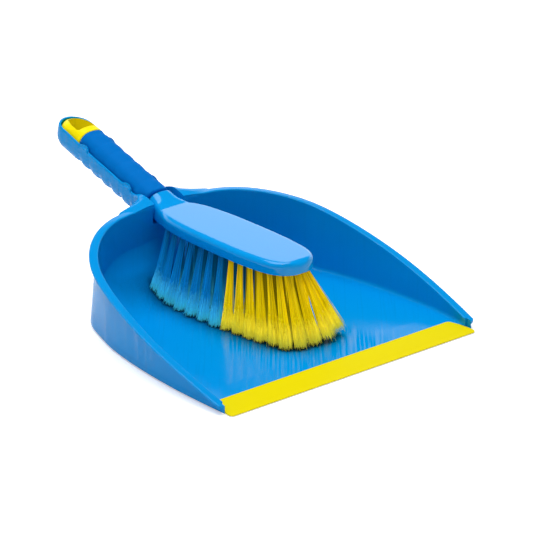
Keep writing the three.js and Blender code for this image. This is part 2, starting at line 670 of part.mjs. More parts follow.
// front row, left to right, same columns
const NOSE_TUFTS = [
  [-11.0, 70.0, -3.6, -12.6], [-6.0, 65.8, 0.2, -14.2], [0, 64.2, 6.0, -13.6],
  [6.0, 65.8, 10.2, -17.0], [11.0, 70.0, 17.0, -17.5]];
const BLUE_ROWS = 7;
const TIP_RADII = { full: [5.0, 4.5], fine: [4.2, 3.5], slim: [4.3, 4.2] };   // [in x, in y]

// one row of tufts, named by row number and a letter from left to right
function tuftRow(row, tufts) {
  const size = row <= 2 ? 'fine' : row > 10 ? 'slim' : 'full';
  const color = row <= BLUE_ROWS ? 'blue' : 'yellow';
  return tufts.map(([x, y, leanX, leanY], j) => ({
    x, y, leanX, leanY, size, color,
    name: `tuft_${color}_${String(row).padStart(2, '0')}${'abcde'[j]}`,
  }));
}

function tuftRoots() {
  const toLeft = ([x, y, leanX, leanY]) => [-x, y, -leanX, leanY];
  const rows = OUTER_TUFTS.map((outer, i) => {
    const inner = INNER_TUFTS[i];
    return [toLeft(outer), toLeft(inner), inner, outer];
  });
  return [...rows, NOSE_TUFTS].flatMap((tufts, i) => tuftRow(i + 1, tufts));
}

function makeTuft({ x, y, leanX, leanY, size }) {
  const [radiusX, radiusY] = TIP_RADII[size];
  const drop = Math.sqrt(TUFT_LEN * TUFT_LEN - leanX * leanX - leanY * leanY);
  const floor = floorHeight(Math.abs(x + leanX) + radiusX * 0.8, y + leanY + radiusY);
  const tipZ = Math.max(BLOCK_BOTTOM - drop, floor + TUFT_FLOOR_GAP);
  // section at a fraction of the way from the block to the tip
  const ring = (fraction, z) => Array.from({ length: TUFT_SIDES }, (_, i) => {
    const angle = i / TUFT_SIDES * 2 * Math.PI + Math.PI / TUFT_SIDES;
    const spread = Math.pow(fraction, 1.2);
    return at(
      x + leanX * fraction + (TUFT_R + (radiusX - TUFT_R) * spread) * Math.cos(angle),
      y + leanY * fraction + (TUFT_R + (radiusY - TUFT_R) * spread) * Math.sin(angle),
      z);
  });
  return loft([
    ring(0, HOLE_TOP - 0.4),
    ring(0, BLOCK_BOTTOM - 0.2),
    ...[0.45, 1].map(f => ring(f, BLOCK_BOTTOM + (tipZ - BLOCK_BOTTOM) * f))], topView);
}

// ---------------------------------------------------------------- materials and assembly
const FINISH = {
  pan: { color: 0x0a94dc, roughness: 0.32 },
  lip: { color: 0xf7e000, roughness: 0.55 },
  block: { color: 0x2a9fe0, roughness: 0.28 },
  sleeve: { color: 0x0070cc, roughness: 0.6 },
  cap: { color: 0xf5dc05, roughness: 0.45 },
  blueTuft: { color: 0x1f86cc, roughness: 0.7 },
  yellowTuft: { color: 0xf2d400, roughness: 0.7 },
};

const group = new THREE.Group();
group.name = 'dustpan_and_brush';

function addPiece(name, piece, finish) {
  const { vertProperties, triVerts } = piece.getMesh();
  const geometry = new THREE.BufferGeometry();
  geometry.setAttribute('position', new THREE.Float32BufferAttribute(vertProperties, 3));
  geometry.setIndex(Array.from(triVerts));
  geometry.computeVertexNormals();
  const material = new THREE.MeshStandardMaterial({ ...finish, metalness: 0 });
  const mesh = new THREE.Mesh(geometry, material);
  mesh.name = name;
  group.add(mesh);
}

const roots = tuftRoots();
addPiece('pan_body', makePan(), FINISH.pan);
addPiece('pan_lip', makeLip(), FINISH.lip);
addPiece('brush_block', makeBlock(roots), FINISH.block);
addPiece('grip_sleeve', makeSleeve(), FINISH.sleeve);
addPiece('hang_cap', makeCap(), FINISH.cap);
for (const root of roots) addPiece(root.name, makeTuft(root), FINISH[`${root.color}Tuft`]);

export default group;
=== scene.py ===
"""Dustpan with a hand brush lying over it, the brush's handle nested in the pan's handle channel.

Shapes are worked out in mm: x across, y from the open front edge (y = 0) back to the handle,
z up from the underside. point() moves them to the origin of the scene, which is in metres.
Handle parts use a tilted axis that climbs to the rear: s runs along it, v square to it.
"""
import bpy
import bmesh
import math
from types import SimpleNamespace

import numpy as np
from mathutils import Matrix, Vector


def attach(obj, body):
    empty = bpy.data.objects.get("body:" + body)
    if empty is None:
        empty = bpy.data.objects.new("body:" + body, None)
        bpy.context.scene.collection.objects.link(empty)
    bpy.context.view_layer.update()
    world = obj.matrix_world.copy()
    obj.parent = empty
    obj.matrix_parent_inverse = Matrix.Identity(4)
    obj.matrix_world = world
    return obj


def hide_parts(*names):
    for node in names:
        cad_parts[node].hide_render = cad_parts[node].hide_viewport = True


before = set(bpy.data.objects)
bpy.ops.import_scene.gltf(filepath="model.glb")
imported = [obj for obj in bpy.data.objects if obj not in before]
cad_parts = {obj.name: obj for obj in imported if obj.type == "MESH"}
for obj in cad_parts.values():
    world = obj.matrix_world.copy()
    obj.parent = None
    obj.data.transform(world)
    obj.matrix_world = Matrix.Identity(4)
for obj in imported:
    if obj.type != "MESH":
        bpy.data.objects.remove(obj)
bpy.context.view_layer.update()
RNG = np.random.default_rng(20240611)
MM = 0.001

# ------------------------------------------------------------------ dimensions, mm
ORIGIN_Y = 110.0                      # the y that lands on the scene's origin
GAP = 0.3                             # clearance between fitted parts
# pan
FLOOR_TOP, WALL, FLANGE = 2.8, 2.2, 4.2
WALL_TOP_DROP = 2.1                   # rim to the height where wall and flange lines meet
FOOT_R, FLANGE_EDGE_R, RIM_IN_R = 2.6, 1.02, 0.9
CREASE_Y, CREASE_R, CREASE_DROP = 36.0, 1.2, 0.7
LIP_DEPTH, LIP_FRONT_T, LIP_BACK_T = 23.0, 0.9, 2.45
TONGUE_T, TONGUE_FRONT, BODY_FRONT = 0.7, 10.5, 6.2
# rise of the floor at the rear: a quarter ellipse, higher near the middle
RISE_Y, RISE_BOW, RISE_LEN = 165, 0.0016, 46.0
RISE_H, RISE_MID_H, RISE_MID_W = 45, 9.6, 18.0
# tilted handle axis
SLOPE = math.radians(16.9)
SPINE_Y, SPINE_Z = 258.0, 70.0
AXIS_COS, AXIS_SIN = math.cos(SLOPE), math.sin(SLOPE)
# handle channel
CHAN_HW, CHAN_BOTTOM, CHAN_T, CHAN_TIP, TIP_LEN = 13.4, 12.2, 1.6, 72.4, 14.5
CHAN_START = -60
NOTCH_HW = 13.3
LOBE_PITCH, LOBE_PHASE, LOBE_DEPTH = 12.7, -2.0, 1.4
SILL_Z = 50.3
# brush handle
GRIP_HW, GRIP_TOP, GRIP_BOTTOM, GRIP_T = 11.5, 13.5, 9.0, 2.4
GRIP_S0, GRIP_S1, CAP_TIP = -41.0, 40.0, 69.8
CAP_TIP_LEN = TIP_LEN - 2.2
HANDLE_LOW_Z = SILL_Z + 0.45          # no part of the brush handle goes below this
# brush block and bristles
BLOCK_TOP, BLOCK_BOTTOM, EDGE_R = 63.9, 54.6, 4.3
NOSE, NOSE_LEN = 57.3, 20.0
NECK0, NECK1 = 187.0, 214.4
HOLE_R, HOLE_TOP, HOLE_SIDES = 2.45, 61.3, 20
ROOT_R, TUFT_LEN = 1.75, 51.8

# ------------------------------------------------------------------ measured tables, mm
# half outlines in plan, x y, from the front corner to the rear centre
RIM = [
    [114.2, 4.2], [116.4, 30.5], [117.5, 55.6], [117.2, 79.9], [115.2, 103.6],
    [111.6, 126.2], [107, 145.7], [101.2, 161.6], [92.2, 176.3], [79.6, 189.9],
    [64.8, 200.3], [49.7, 206.5], [35.6, 209.1], [17, 210.0], [0, 210.2]]
FOOT = [
    [111.6, 4.2], [112.0, 30], [112.0, 57], [109.7, 94], [106.2, 122], [102.2, 142],
    [96.4, 160.5], [89.0, 180.4], [74.4, 196.9], [57.2, 207.6], [38.6, 213.4],
    [20, 215.6], [0, 216.5]]
# front corner of the pan, x y
CORNER = [
    (109.0, BODY_FRONT), (111.2, 6.45), (113.0, 7.2), (114.4, 8.2), (115.6, 9.6),
    (116.5, 11.4), (117.2, 13.6), (117.6, 19.0), (140, 30), (140, 420)]
# the channel along s: v of its upper edge, sideways flare of that edge, drop of the flare
CHAN_EDGE = [
    [-60, 10.8], [-55, 11.8], [-50, 12.3], [-45, 12.3], [-41.5, 11.9], [-38.5, 10.9],
    [-35, 8.7], [-31.5, 5.9], [-28.5, 4.9], [-26.0, 4.8], [-25.5, 5.8], [-25.0, 7.1],
    [-23.8, 8.1], [-22, 8.6], [-19.5, 8.4], [-17.5, 7.6], [-15.6, 6.4], [-14, 5.8],
    [-12, 5.6], [5, 5.6], [24, 5.3], [26.6, 5.4], [27.1, 6.4], [27.7, 7.4], [29.0, 8.4],
    [31.5, 8.7], [33.5, 8.3], [35.5, 7.2], [37.5, 6.2], [39.5, 5.8], [47, 6.1],
    [55, 6.4], [63, 6.0], [68, 5.6], [72.5, 5.2]]
FLARE = [
    [-60, 36], [-47, 26], [-45, 17], [-43.5, 11.5], [-42, 7.5], [-40, 4.3], [-37, 2.0],
    [-33, 0.5], [-30, 0]]
FLARE_DROP = [
    [-60, 4.0], [-50, 4.4], [-46, 4.4], [-43, 3.4], [-40, 1.8], [-36, 0.7],
    [-32, 0.25], [-20, 0.25]]
# half width of block and neck along y
BLOCK_W = [
    [57, 20.6], [64, 19.9], [69, 19.9], [75, 20.3], [80, 21.2], [87, 22.0], [100, 23.1],
    [123, 23.5], [150, 23.2], [163, 22.5], [170, 21.8], [176, 21.1], [184, 19.8],
    [189, 18.0], [193, 16.2], [197, 14.4], [201, 13.1], [206, 12.1], [214.4, 11.4]]
# top and bottom heights of the neck along y
NECK_TOP = [[180, BLOCK_TOP], [196.8, BLOCK_TOP], [205, 66.7], [214.4, 70.2]]
NECK_BOTTOM = [
    [180, BLOCK_BOTTOM], [187, BLOCK_BOTTOM], [192, 53.7], [197, 51.9], [202, 50.9],
    [206, HANDLE_LOW_Z], [214.4, HANDLE_LOW_Z]]
# top height v of the hang cap along s
CAP_TOP = [[40, GRIP_TOP], [50, 12.9], [54, 12.1], [58, 10.7], [62, 9.3], [66, 8.3], [70, 7.2]]
# corners of the opening through the hang cap, x s
EYE = [(-8.5, 46.5), (8.5, 46.5), (7.5, 56.5), (3.4, 66.0), (-3.4, 66.0), (-7.5, 56.5)]
# tufts of the right half from the handle end:
# root x, root y, how far the tip stands out from the root in x and in y
OUTER = [
    [16.0, 184.2, 9.7, 2.6], [17.6, 174.2, 8.5, 5.4], [18.2, 164.4, 7.1, 6.6],
    [18.4, 154.2, 7.4, 4.9], [18.3, 143.8, 8.3, 2.1], [18.2, 133.4, 7.3, 0.9],
    [18.2, 122.4, 7.1, -0.9], [18.0, 111.8, 4.8, -0.9], [17.6, 102.5, 4.1, -2.4],
    [16.9, 93.4, 3.4, -3.9], [15.7, 84.7, 2.7, -5.7], [13.9, 76.6, 2.1, -8.0]]
INNER = [
    [6.2, 179.2, 2.8, 4.0], [6.2, 169.5, 2.4, 5.6], [6.2, 159.4, 2.2, 5.2],
    [6.2, 149.0, 2.5, 3.2], [6.2, 138.5, 2.5, 1.3], [6.2, 127.8, 2.3, 0.0],
    [6.2, 117.2, 1.9, -0.9], [6.2, 107.2, 1.4, -1.6], [6.2, 98.0, 1.2, -3.0],
    [6.2, 89.1, 1.2, -4.6], [6.2, 80.8, 1.6, -6.4], [6.2, 73.4, 1.0, -8.6]]
NOSE_TUFTS = [
    [-11.0, 70.0, -3.6, -12.6], [-6.0, 65.8, 0.2, -14.2], [0, 64.2, 6.0, -13.6],
    [6.0, 65.8, 10.2, -17.0], [11.0, 70.0, 17.0, -17.5]]
BLUE_ROWS = 7                         # rows of blue tufts, counted from the handle end


# ------------------------------------------------------------------ points and numbers
def point(x, y, z):
    return np.array([x, y - ORIGIN_Y, z], float)


def axis_point(x, s, v):
    return point(x, SPINE_Y + s * AXIS_COS - v * AXIS_SIN, SPINE_Z + s * AXIS_SIN + v * AXIS_COS)


def smoothstep(x, a, b):
    t = min(max((x - a) / (b - a), 0.0), 1.0)
    return t * t * (3 - 2 * t)


def soft_table(table, x, sigma):
    """Table lookup averaged with a Gaussian of width sigma."""
    k = np.linspace(-2.5, 2.5, 21)
    weight = np.exp(-k * k / 2)
    keys, values = zip(*table)
    return float(np.sum(weight * np.interp(x + k * sigma, keys, values)) / weight.sum())


def spaced(start, stop, step):
    """Even stations from start to stop, about one step apart."""
    count = max(2, int(round((stop - start) / step)) + 1)
    return list(np.linspace(start, stop, count))


def thinned(values, gap):
    values = sorted(values)
    return [v for i, v in enumerate(values) if i == 0 or v - values[i - 1] > gap]


def tip_factor(s, tip, length):
    """Elliptical narrowing towards a rounded tip."""
    if s <= tip - length:
        return 1.0
    return math.sqrt(max(0.0004, 1 - ((s - tip + length) / length) ** 2))


def tip_stations(tip, length, count, first=1, reach=1.0):
    """Stations that crowd together towards a rounded tip."""
    return [tip - length + length * math.sin(k / count * math.pi / 2 * reach)
            for k in range(first, count + 1)]


def even_spacing(line, count):
    s = np.concatenate([[0], np.cumsum(np.linalg.norm(np.diff(line, axis=0), axis=1))])
    q = np.linspace(0, s[-1], count)
    return np.stack([np.interp(q, s, line[:, 0]), np.interp(q, s, line[:, 1])], 1)


def closed_section(half, n):
    """n steps along an open half outline, then mirrored into a closed ring of 2n points."""
    even = even_spacing(half, n + 1)
    even[0, 0] = even[-1, 0] = 0.0
    return np.concatenate([even, even[1:-1][::-1] * [-1, 1]])


# ------------------------------------------------------------------ mesh helpers
def link_object(name, data):
    obj = bpy.data.objects.new(name, data)
    bpy.context.scene.collection.objects.link(obj)
    return obj


def make_obj(name, verts, faces):
    mesh = bpy.data.meshes.new(name)
    mesh.from_pydata([tuple(p * MM) for p in verts], [], faces)
    mesh.validate()
    obj = link_object(name, mesh)
    bm = bmesh.new()
    bm.from_mesh(mesh)
    bmesh.ops.remove_doubles(bm, verts=bm.verts, dist=2e-6)
    bmesh.ops.dissolve_degenerate(bm, edges=bm.edges, dist=1e-6)
    bmesh.ops.recalc_face_normals(bm, faces=bm.faces)
    bm.to_mesh(mesh)
    bm.free()
    return obj


def ring_sides(rings, n, first=0):
    """Quads between successive rings of n vertices, numbered from first."""
    faces = []
    for i in range(rings - 1):
        for j in range(n):
            a, b = first + i * n + j, first + i * n + (j + 1) % n
            faces.append((a, b, b + n, a + n))
    return faces


def loft(name, rings):
    n = len(rings[0])
    faces = ring_sides(len(rings), n)
    faces.append(tuple(range(n)))
    faces.append(tuple((len(rings) - 1) * n + j for j in range(n)))
    return make_obj(name, [p for ring in rings for p in ring], faces)


def prism(name, outline, z0, z1):
    n = len(outline)
    verts = [point(x, y, z) for z in (z0, z1) for x, y in outline]
    faces = [tuple(range(n))[::-1], tuple(range(n, 2 * n))] + ring_sides(2, n)
    return make_obj(name, verts, faces)


def box(name, x_span, y_span, z_span):
    (x0, x1), (y0, y1) = x_span, y_span
    return prism(name, [(x0, y0), (x1, y0), (x1, y1), (x0, y1)], *z_span)


def field_solid(name, xs, ys, height, z_far):
    """Solid between the surface height(x, y) and the level z_far."""
    nx, ny = len(xs), len(ys)
    verts = [point(x, y, height(x, y)) for y in ys for x in xs]
    verts += [point(x, y, z_far) for y in ys for x in xs]

    def index(i, j, k):
        return k * nx * ny + j * nx + i

    faces = []
    for k in (0, 1):
        for j in range(ny - 1):
            for i in range(nx - 1):
                faces.append((index(i, j, k), index(i + 1, j, k),
                              index(i + 1, j + 1, k), index(i, j + 1, k)))
    for i in range(nx - 1):
        for j in (0, ny - 1):
            faces.append((index(i, j, 0), index(i + 1, j, 0),
                          index(i + 1, j, 1), index(i, j, 1)))
    for j in range(ny - 1):
        for i in (0, nx - 1):
            faces.append((index(i, j, 0), index(i, j + 1, 0),
                          index(i, j + 1, 1), index(i, j, 1)))
    return make_obj(name, verts, faces)


def boolean(target, tool, operation, keep=False):
    """Apply tool to target; the tool is removed unless it is kept."""
    modifier = target.modifiers.new("b", "BOOLEAN")
    modifier.object = tool
    modifier.operation = operation
    # an empty result means the fast solver could not take the meshes; then the exact one runs
    for solver in ("MANIFOLD", "EXACT"):
        modifier.solver = solver
        bpy.context.view_layer.update()
        depsgraph = bpy.context.evaluated_depsgraph_get()
        mesh = bpy.data.meshes.new_from_object(target.evaluated_get(depsgraph))
        if len(mesh.polygons) > 0:
            break
    target.modifiers.clear()
    old = target.data
    target.data = mesh
    bpy.data.meshes.remove(old)
    if not keep:
        bpy.data.objects.remove(tool, do_unlink=True)


def add_bevel(obj, width, angle):
    bevel = obj.modifiers.new("bevel", "BEVEL")
    bevel.width = width * MM
    bevel.segments = 3
    bevel.limit_method = "ANGLE"
    bevel.angle_limit = math.radians(angle)


def smooth_all(mesh):
    for polygon in mesh.polygons:
        polygon.use_smooth = True


def finish_mesh(obj, sharp_angle):
    bm = bmesh.new()
    bm.from_mesh(obj.data)
    bmesh.ops.remove_doubles(bm, verts=bm.verts, dist=4e-6)
    bmesh.ops.dissolve_degenerate(bm, edges=bm.edges, dist=2e-6)
    bm.to_mesh(obj.data)
    bm.free()
    smooth_all(obj.data)
    obj.data.set_sharp_from_angle(angle=math.radians(sharp_angle))


# ------------------------------------------------------------------ pan outlines
def rim_height(y):
    return 4.15 + 0.322 * y - 0.00017 * y * y


def catmull(points, t):
    """Centripetal Catmull-Rom curve through the points, t from 0 to 1."""
    count = len(points)
    place = (count - 1) * t
    i = min(int(math.floor(place)), count - 2)
    w = place - i
    p1, p2 = points[i], points[i + 1]
    p0 = points[i - 1] if i > 0 else 2 * points[0] - points[1]
    p3 = points[i + 2] if i + 2 < count else 2 * points[-1] - points[-2]
    d0, d1, d2 = [math.sqrt(np.linalg.norm(a - b)) for a, b in ((p0, p1), (p1, p2), (p2, p3))]
    t1 = ((p1 - p0) / d0 - (p2 - p0) / (d0 + d1) + (p2 - p1) / d1) * d1
    t2 = ((p2 - p1) / d1 - (p3 - p1) / (d1 + d2) + (p3 - p2) / d2) * d1
    return (p1 + t1 * w + (-3 * p1 + 3 * p2 - 2 * t1 - t2) * w * w
            + (2 * p1 - 2 * p2 + t1 + t2) * w ** 3)


def half_curve(half):
    """Lightly smoothed, evenly spaced half outline: 801 points, front corner to rear centre."""
    full = [np.array(p, float) for p in half]
    full += [np.array([-p[0], p[1]], float) for p in half[:-1][::-1]]
    dense = np.array([catmull(full, t) for t in np.linspace(0, 1, 4001)])
    even = even_spacing(dense, 1601)
    k = np.arange(-40, 41)
    weight = np.exp(-(k / 14.0) ** 2 / 2)
    weight /= weight.sum()
    padded = np.concatenate([2 * even[0] - even[40:0:-1], even, 2 * even[-1] - even[-2:-42:-1]])
    smooth = np.stack([np.convolve(padded[:, i], weight, "valid") for i in range(2)], 1)
    smooth = even_spacing(smooth, 1601)
    smooth = (smooth + smooth[::-1] * [-1, 1]) / 2
    return smooth[:801]


def offset_in(curve, d):
    """The half curve moved inwards by d."""
    extended = np.concatenate([[2 * curve[0] - curve[1]], curve, [curve[-2] * [-1, 1]]])
    tangent = extended[2:] - extended[:-2]
    tangent /= np.linalg.norm(tangent, axis=1)[:, None]
    return curve + np.stack([-tangent[:, 1] * d, tangent[:, 0] * d], 1)


def at(curve, t):
    """Point of a half curve at t, from 0 at the front corner to 1 at the rear centre."""
    q = t * (len(curve) - 1)
    i = min(int(q), len(curve) - 2)
    return curve[i] + (curve[i + 1] - curve[i]) * (q - i)


RIM_LINE = half_curve(RIM)
FOOT_LINE = half_curve(FOOT)
WALL_LINE = offset_in(RIM_LINE, FLANGE)
WALL_IN = offset_in(RIM_LINE, FLANGE + WALL)
FOOT_IN = offset_in(FOOT_LINE, WALL)


def rim_z(t):
    return rim_height(at(RIM_LINE, t)[1])


def floor_height(x, y):
    """Top of the pan floor: falls in front of the crease, flat, then rises at the rear."""
    if y < 60:
        q = y - CREASE_Y
        slope = CREASE_DROP / (CREASE_Y - LIP_DEPTH)
        return FLOOR_TOP - 0.5 * (math.sqrt(q * q + CREASE_R * CREASE_R) - q) * slope
    start = RISE_Y - RISE_BOW * x * x
    if y <= start:
        return FLOOR_TOP
    height = RISE_H + RISE_MID_H * math.exp(-(x / RISE_MID_W) ** 2)
    q = min((y - start) / RISE_LEN, 0.995)
    return FLOOR_TOP + height * (1 - math.sqrt(1 - q * q))


# ------------------------------------------------------------------ pan tray
def pan_station(t):
    """Plan points of the wall at t, and how its inner face meets the floor."""
    wall, wall_in = at(WALL_LINE, t), at(WALL_IN, t)
    foot, foot_in = at(FOOT_LINE, t), at(FOOT_IN, t)
    rim = at(RIM_LINE, t)
    out = (rim - wall) / np.linalg.norm(rim - wall)
    if t > 0.9999:
        # the last station lies exactly on the centre line
        for p in (wall, wall_in, foot, foot_in):
            p[0] = 0.0
        out = np.array([0.0, 1.0])
    rim_top = rim_height(rim[1])
    top = np.array([wall_in[0], wall_in[1], rim_top])
    bottom = np.array([foot_in[0], foot_in[1], 0.0])
    low, high = 0.0, 1.0
    for _ in range(40):
        middle = (low + high) / 2
        q = top + (bottom - top) * middle
        if q[2] > floor_height(q[0], q[1]):
            low = middle
        else:
            high = middle
    meet = top + (bottom - top) * low
    # the cove between wall and floor tightens where the floor is high
    tight = smoothstep(meet[2], 3.2, 12.0)
    radius = 3.2 * (1 - tight) + 1.0 * tight
    radius = min(radius, max(rim_top - meet[2], 0.4) * 0.45)
    cove_top = meet + (top - meet) / np.linalg.norm(top - meet) * radius
    inner = meet[:2] - out * radius
    if inner[0] < 1e-6:
        inner[0] = 0.0
    cove_end = np.array([inner[0], inner[1], floor_height(inner[0], inner[1])])
    return SimpleNamespace(wall=wall, foot=foot, out=out, rim_top=rim_top, top=top,
                           bottom=bottom, meet=meet, cove_top=cove_top, cove_end=cove_end)


def wall_profile(st):
    """Underside, outer wall and flange, ending on the rounded inner edge of the rim."""
    wall, foot, out, top = st.wall, st.foot, st.out, st.rim_top

    def outward(base, d, z):
        return point(base[0] + out[0] * d, base[1] + out[1] * d, z)

    rise_h = top - WALL_TOP_DROP
    under = foot - out * FOOT_R
    pts = [point(0, under[1], 0), point(under[0], under[1], 0)]
    for k in range(1, 6):
        a = k / 6 * math.pi / 2
        z = FOOT_R * (1 - math.cos(a))
        pts.append(outward(foot + (wall - foot) * (z / rise_h), -FOOT_R + FOOT_R * math.sin(a), z))
    for k in range(17):
        z = FOOT_R + (top - 3.4 - FOOT_R) * (k / 16)
        pts.append(outward(foot + (wall - foot) * z / rise_h, 0, z))
    # underside of the flange: distance out from the wall, height from the rim
    for d, h in ((0.12, -2.75), (0.45, -2.3), (1.1, -2.12), (2.2, -2.06)):
        pts.append(outward(wall, d, top + h))
    r = FLANGE_EDGE_R
    for k in range(9):
        a = -math.pi / 2 + k / 8 * math.pi
        pts.append(outward(wall, FLANGE - r + r * math.cos(a), top - r + r * math.sin(a)))
    # top of the flange
    for d, h in ((2.2, 0.03), (1.0, 0.04), (0.0, 0.03), (-WALL + 1.3, 0.0)):
        pts.append(outward(wall, d, top + h))
    r = RIM_IN_R
    for k in range(1, 7):
        a = math.pi / 2 + k / 6 * math.pi / 2
        pts.append(outward(wall, -WALL + r + r * math.cos(a), top - r + r * math.sin(a)))
    return pts


def inside_profile(st):
    """Inner wall, cove and floor, ending on the centre line."""
    pts = []
    start = st.top + (st.bottom - st.top) * (RIM_IN_R / st.rim_top)
    for k in range(1, 17):
        pts.append(point(*(start + (st.cove_top - start) * k / 16)))
    for k in range(1, 7):
        f = k / 7
        q = st.cove_top * (1 - f) ** 2 + st.meet * 2 * f * (1 - f) + st.cove_end * f * f
        pts.append(point(*q))
    end_x, end_y = st.cove_end[:2]
    for k in range(21):
        x = end_x * (1 - k / 20)
        # floor rows near the crease bow to the rear in the middle
        bow = (1.6 * (1 - (x / 110.0) ** 2) * smoothstep(end_y, 12, 34)
               * (1 - smoothstep(end_y, 40, 80)))
        pts.append(point(x, end_y + bow, floor_height(x, end_y)))
    return pts


MIRROR_X = np.array([-1, 1, 1])


def tray():
    # extra stations put rows closely on both sides of the floor crease
    crease_rows = (31, 33, 34, 34.6, 35.1, 35.6, 36, 36.4, 36.9, 37.4, 38, 39, 41)
    dense = np.linspace(0, 1, 401)
    row_y = np.array([pan_station(t).cove_end[1] for t in dense])
    stations = list(np.linspace(0, 1, 171))
    stations += [float(np.interp(y, row_y[:200], dense[:200])) for y in crease_rows]
    rings = []
    for t in thinned(stations, 3e-4):
        st = pan_station(t)
        right = wall_profile(st) + inside_profile(st)
        rings.append(right + [p * MIRROR_X for p in right[1:-1]][::-1])
    return loft("pan_shell", rings)


# ------------------------------------------------------------------ solids in the pan's plan shape
def level(curve, height):
    """Half outline as a function of t; height is a number or a function of t."""
    def f(t):
        p = at(curve, t)
        return [p[0], p[1], height(t) if callable(height) else height]
    return f


def plan_solid(name, levels):
    """Closed solid from stacked half outlines, run straight out past the front edge."""
    front_y = -40
    verts = []
    for outline in levels:
        right = [np.array(outline(t), float) for t in np.linspace(0, 1, 90)]
        right[-1][0] = 0.0
        left = [p * MIRROR_X for p in right[:-1]][::-1]
        first = right[0].copy()
        first[1] = front_y
        verts += [point(*p) for p in [first] + right + left + [first * MIRROR_X]]
    n = len(verts) // len(levels)
    faces = ring_sides(len(levels), n)
    # the ends are closed by strips from the right half to the left
    for k in (0, len(levels) - 1):
        for j in range(n // 2):
            a, b = k * n + j, k * n + j + 1
            c, d = k * n + n - 1 - j, k * n + n - 2 - j
            faces.append((a, b, c) if b == d else (a, b, d, c))
    return make_obj(name, verts, faces)


def hollow_solid():
    """The hollow of the scoop, a hair wider than the inner walls and carried on upwards."""
    low, high = offset_in(FOOT_IN, -0.06), offset_in(WALL_IN, -0.06)
    ceiling = 86.0

    def extended(t):
        a, b = at(low, t), at(high, t)
        z = rim_z(t)
        k = (ceiling - z) / max(z, 8.0) if z > 40 else 0.0
        return [b[0] + (b[0] - a[0]) * k, b[1] + (b[1] - a[1]) * k, ceiling]

    return plan_solid("hollow", [level(low, -2.0), level(low, 0.0), level(high, rim_z), extended])


def rear_underside():
    """The space under the raised rear floor, inside the walls."""
    low, high = offset_in(FOOT_LINE, 2.4), offset_in(WALL_LINE, 2.5)
    skirt = plan_solid("skirt", [level(low, -6), level(low, 0), level(high, rim_z)])
    under = field_solid("under", spaced(-84, 84, 3), spaced(174, 222, 1.5),
                        lambda x, y: min(floor_height(x, y) - 2.5, 44), -2)
    boolean(skirt, under, "INTERSECT")
    return skirt


# ------------------------------------------------------------------ handle channel
def groove(s, sharpness):
    """Depth, 0 to 1, of the evenly spaced finger grooves."""
    q = (s - LOBE_PHASE) / LOBE_PITCH
    f = abs(q - round(q)) * 2
    return (1 - f) ** sharpness * smoothstep(s, -34, -26) * (1 - smoothstep(s, 36, 44))


def axis_ring(half, s):
    """Ring square to the handle axis, from the x v points of its right half."""
    left = [[-x, v] for x, v in half[:-1]][::-1]
    return [axis_point(x, s, v) for x, v in half + left]


def channel_ring(s):
    narrow = tip_factor(s, CHAN_TIP, TIP_LEN)
    edge = soft_table(CHAN_EDGE, s, 0.35)
    flare = soft_table(FLARE, s, 0.7)
    drop = soft_table(FLARE_DROP, s, 0.7)
    # the raised ears of the edge thin towards their tops on the outside
    lean = 0.85 * smoothstep(edge, 6.0, 8.4) if -27 < s < 38 else 0.0
    inner = (CHAN_HW - CHAN_T) * narrow
    outer = (CHAN_HW - lean) * narrow + flare
    outer_v = edge - drop - 0.5
    side = CHAN_HW * narrow * 1.002
    half = [
        [inner, edge],
        [inner + (0.5 - lean * 0.3) * narrow + flare * 0.25, edge - drop * 0.12 + 0.1],
        [inner + (1.2 - lean) * narrow + flare * 0.55, edge - drop * 0.42],
        [outer - 0.45 * narrow, outer_v + 0.42],
        [outer - 0.1, outer_v + 0.05],
        [outer, outer_v - 0.5],
        [outer, outer_v - 1.1 - 0.3 * min(flare, 2)],
        [side + flare * 0.5, edge - drop - 2.2 - min(flare, 3) * 0.35],
        [side + flare * 0.15, edge - drop - 2.6 - min(flare, 3) * 0.5]]
    # superelliptic bottom with the finger grooves
    steps, exponent = 18, 2.7
    for i in range(steps + 1):
        a = i / steps * math.pi / 2
        across = math.cos(a) ** (2 / exponent) if i < steps else 0.0
        down = math.sin(a) ** (2 / exponent)
        cut = LOBE_DEPTH * groove(s, 2.2) * smoothstep(down, 0.0, 0.75)
        half.append([(CHAN_HW - cut) * narrow * across,
                     1.0 - (CHAN_BOTTOM + 1.0 - cut) * narrow ** 0.9 * down])
    return axis_ring(half, s)


def channel_solid():
    step = 0.7
    stations = spaced(CHAN_START, CHAN_TIP - TIP_LEN, step)
    stations += tip_stations(CHAN_TIP, TIP_LEN, 16)
    # closer stations at the steep ends of the ears
    for ear in (-25.4, 27.2):
        stations += [ear - 0.5, ear - 0.25, ear, ear + 0.25, ear + 0.5]
    return loft("channel", [channel_ring(s) for s in thinned(stations, 0.05)])


def clearance_ring(s):
    narrow = tip_factor(s, CHAN_TIP - CHAN_T, TIP_LEN - 1)
    inner_hw = CHAN_HW - CHAN_T
    hw = inner_hw + (NOTCH_HW - CHAN_HW + CHAN_T) * smoothstep(-s, 33, 40)
    bottom = -(GRIP_BOTTOM + GAP + 0.1) * narrow ** 0.8
    half = [[hw * narrow, 26.0], [hw * narrow, 0.0]]
    for i in range(1, 12):
        a = i / 12 * math.pi / 2
        half.append([hw * narrow * math.cos(a) ** 0.8, bottom * math.sin(a) ** 0.8])
    half.append([0.0, bottom])
    return axis_ring(half, s)


def clearance_solid():
    """Room for the brush handle in the channel and a notch through the rear wall."""
    stations = [-74] + spaced(-41, -32, 0.75) + [0, 30]
    stations += tip_stations(CHAN_TIP - CHAN_T, TIP_LEN - 1, 16, first=0)
    solid = loft("clear", [clearance_ring(s) for s in stations])
    # the notch stops at the sill
    boolean(solid, box("sill", (-30, 30), (175, 235), (SILL_Z - 200, SILL_Z)), "DIFFERENCE")
    return solid


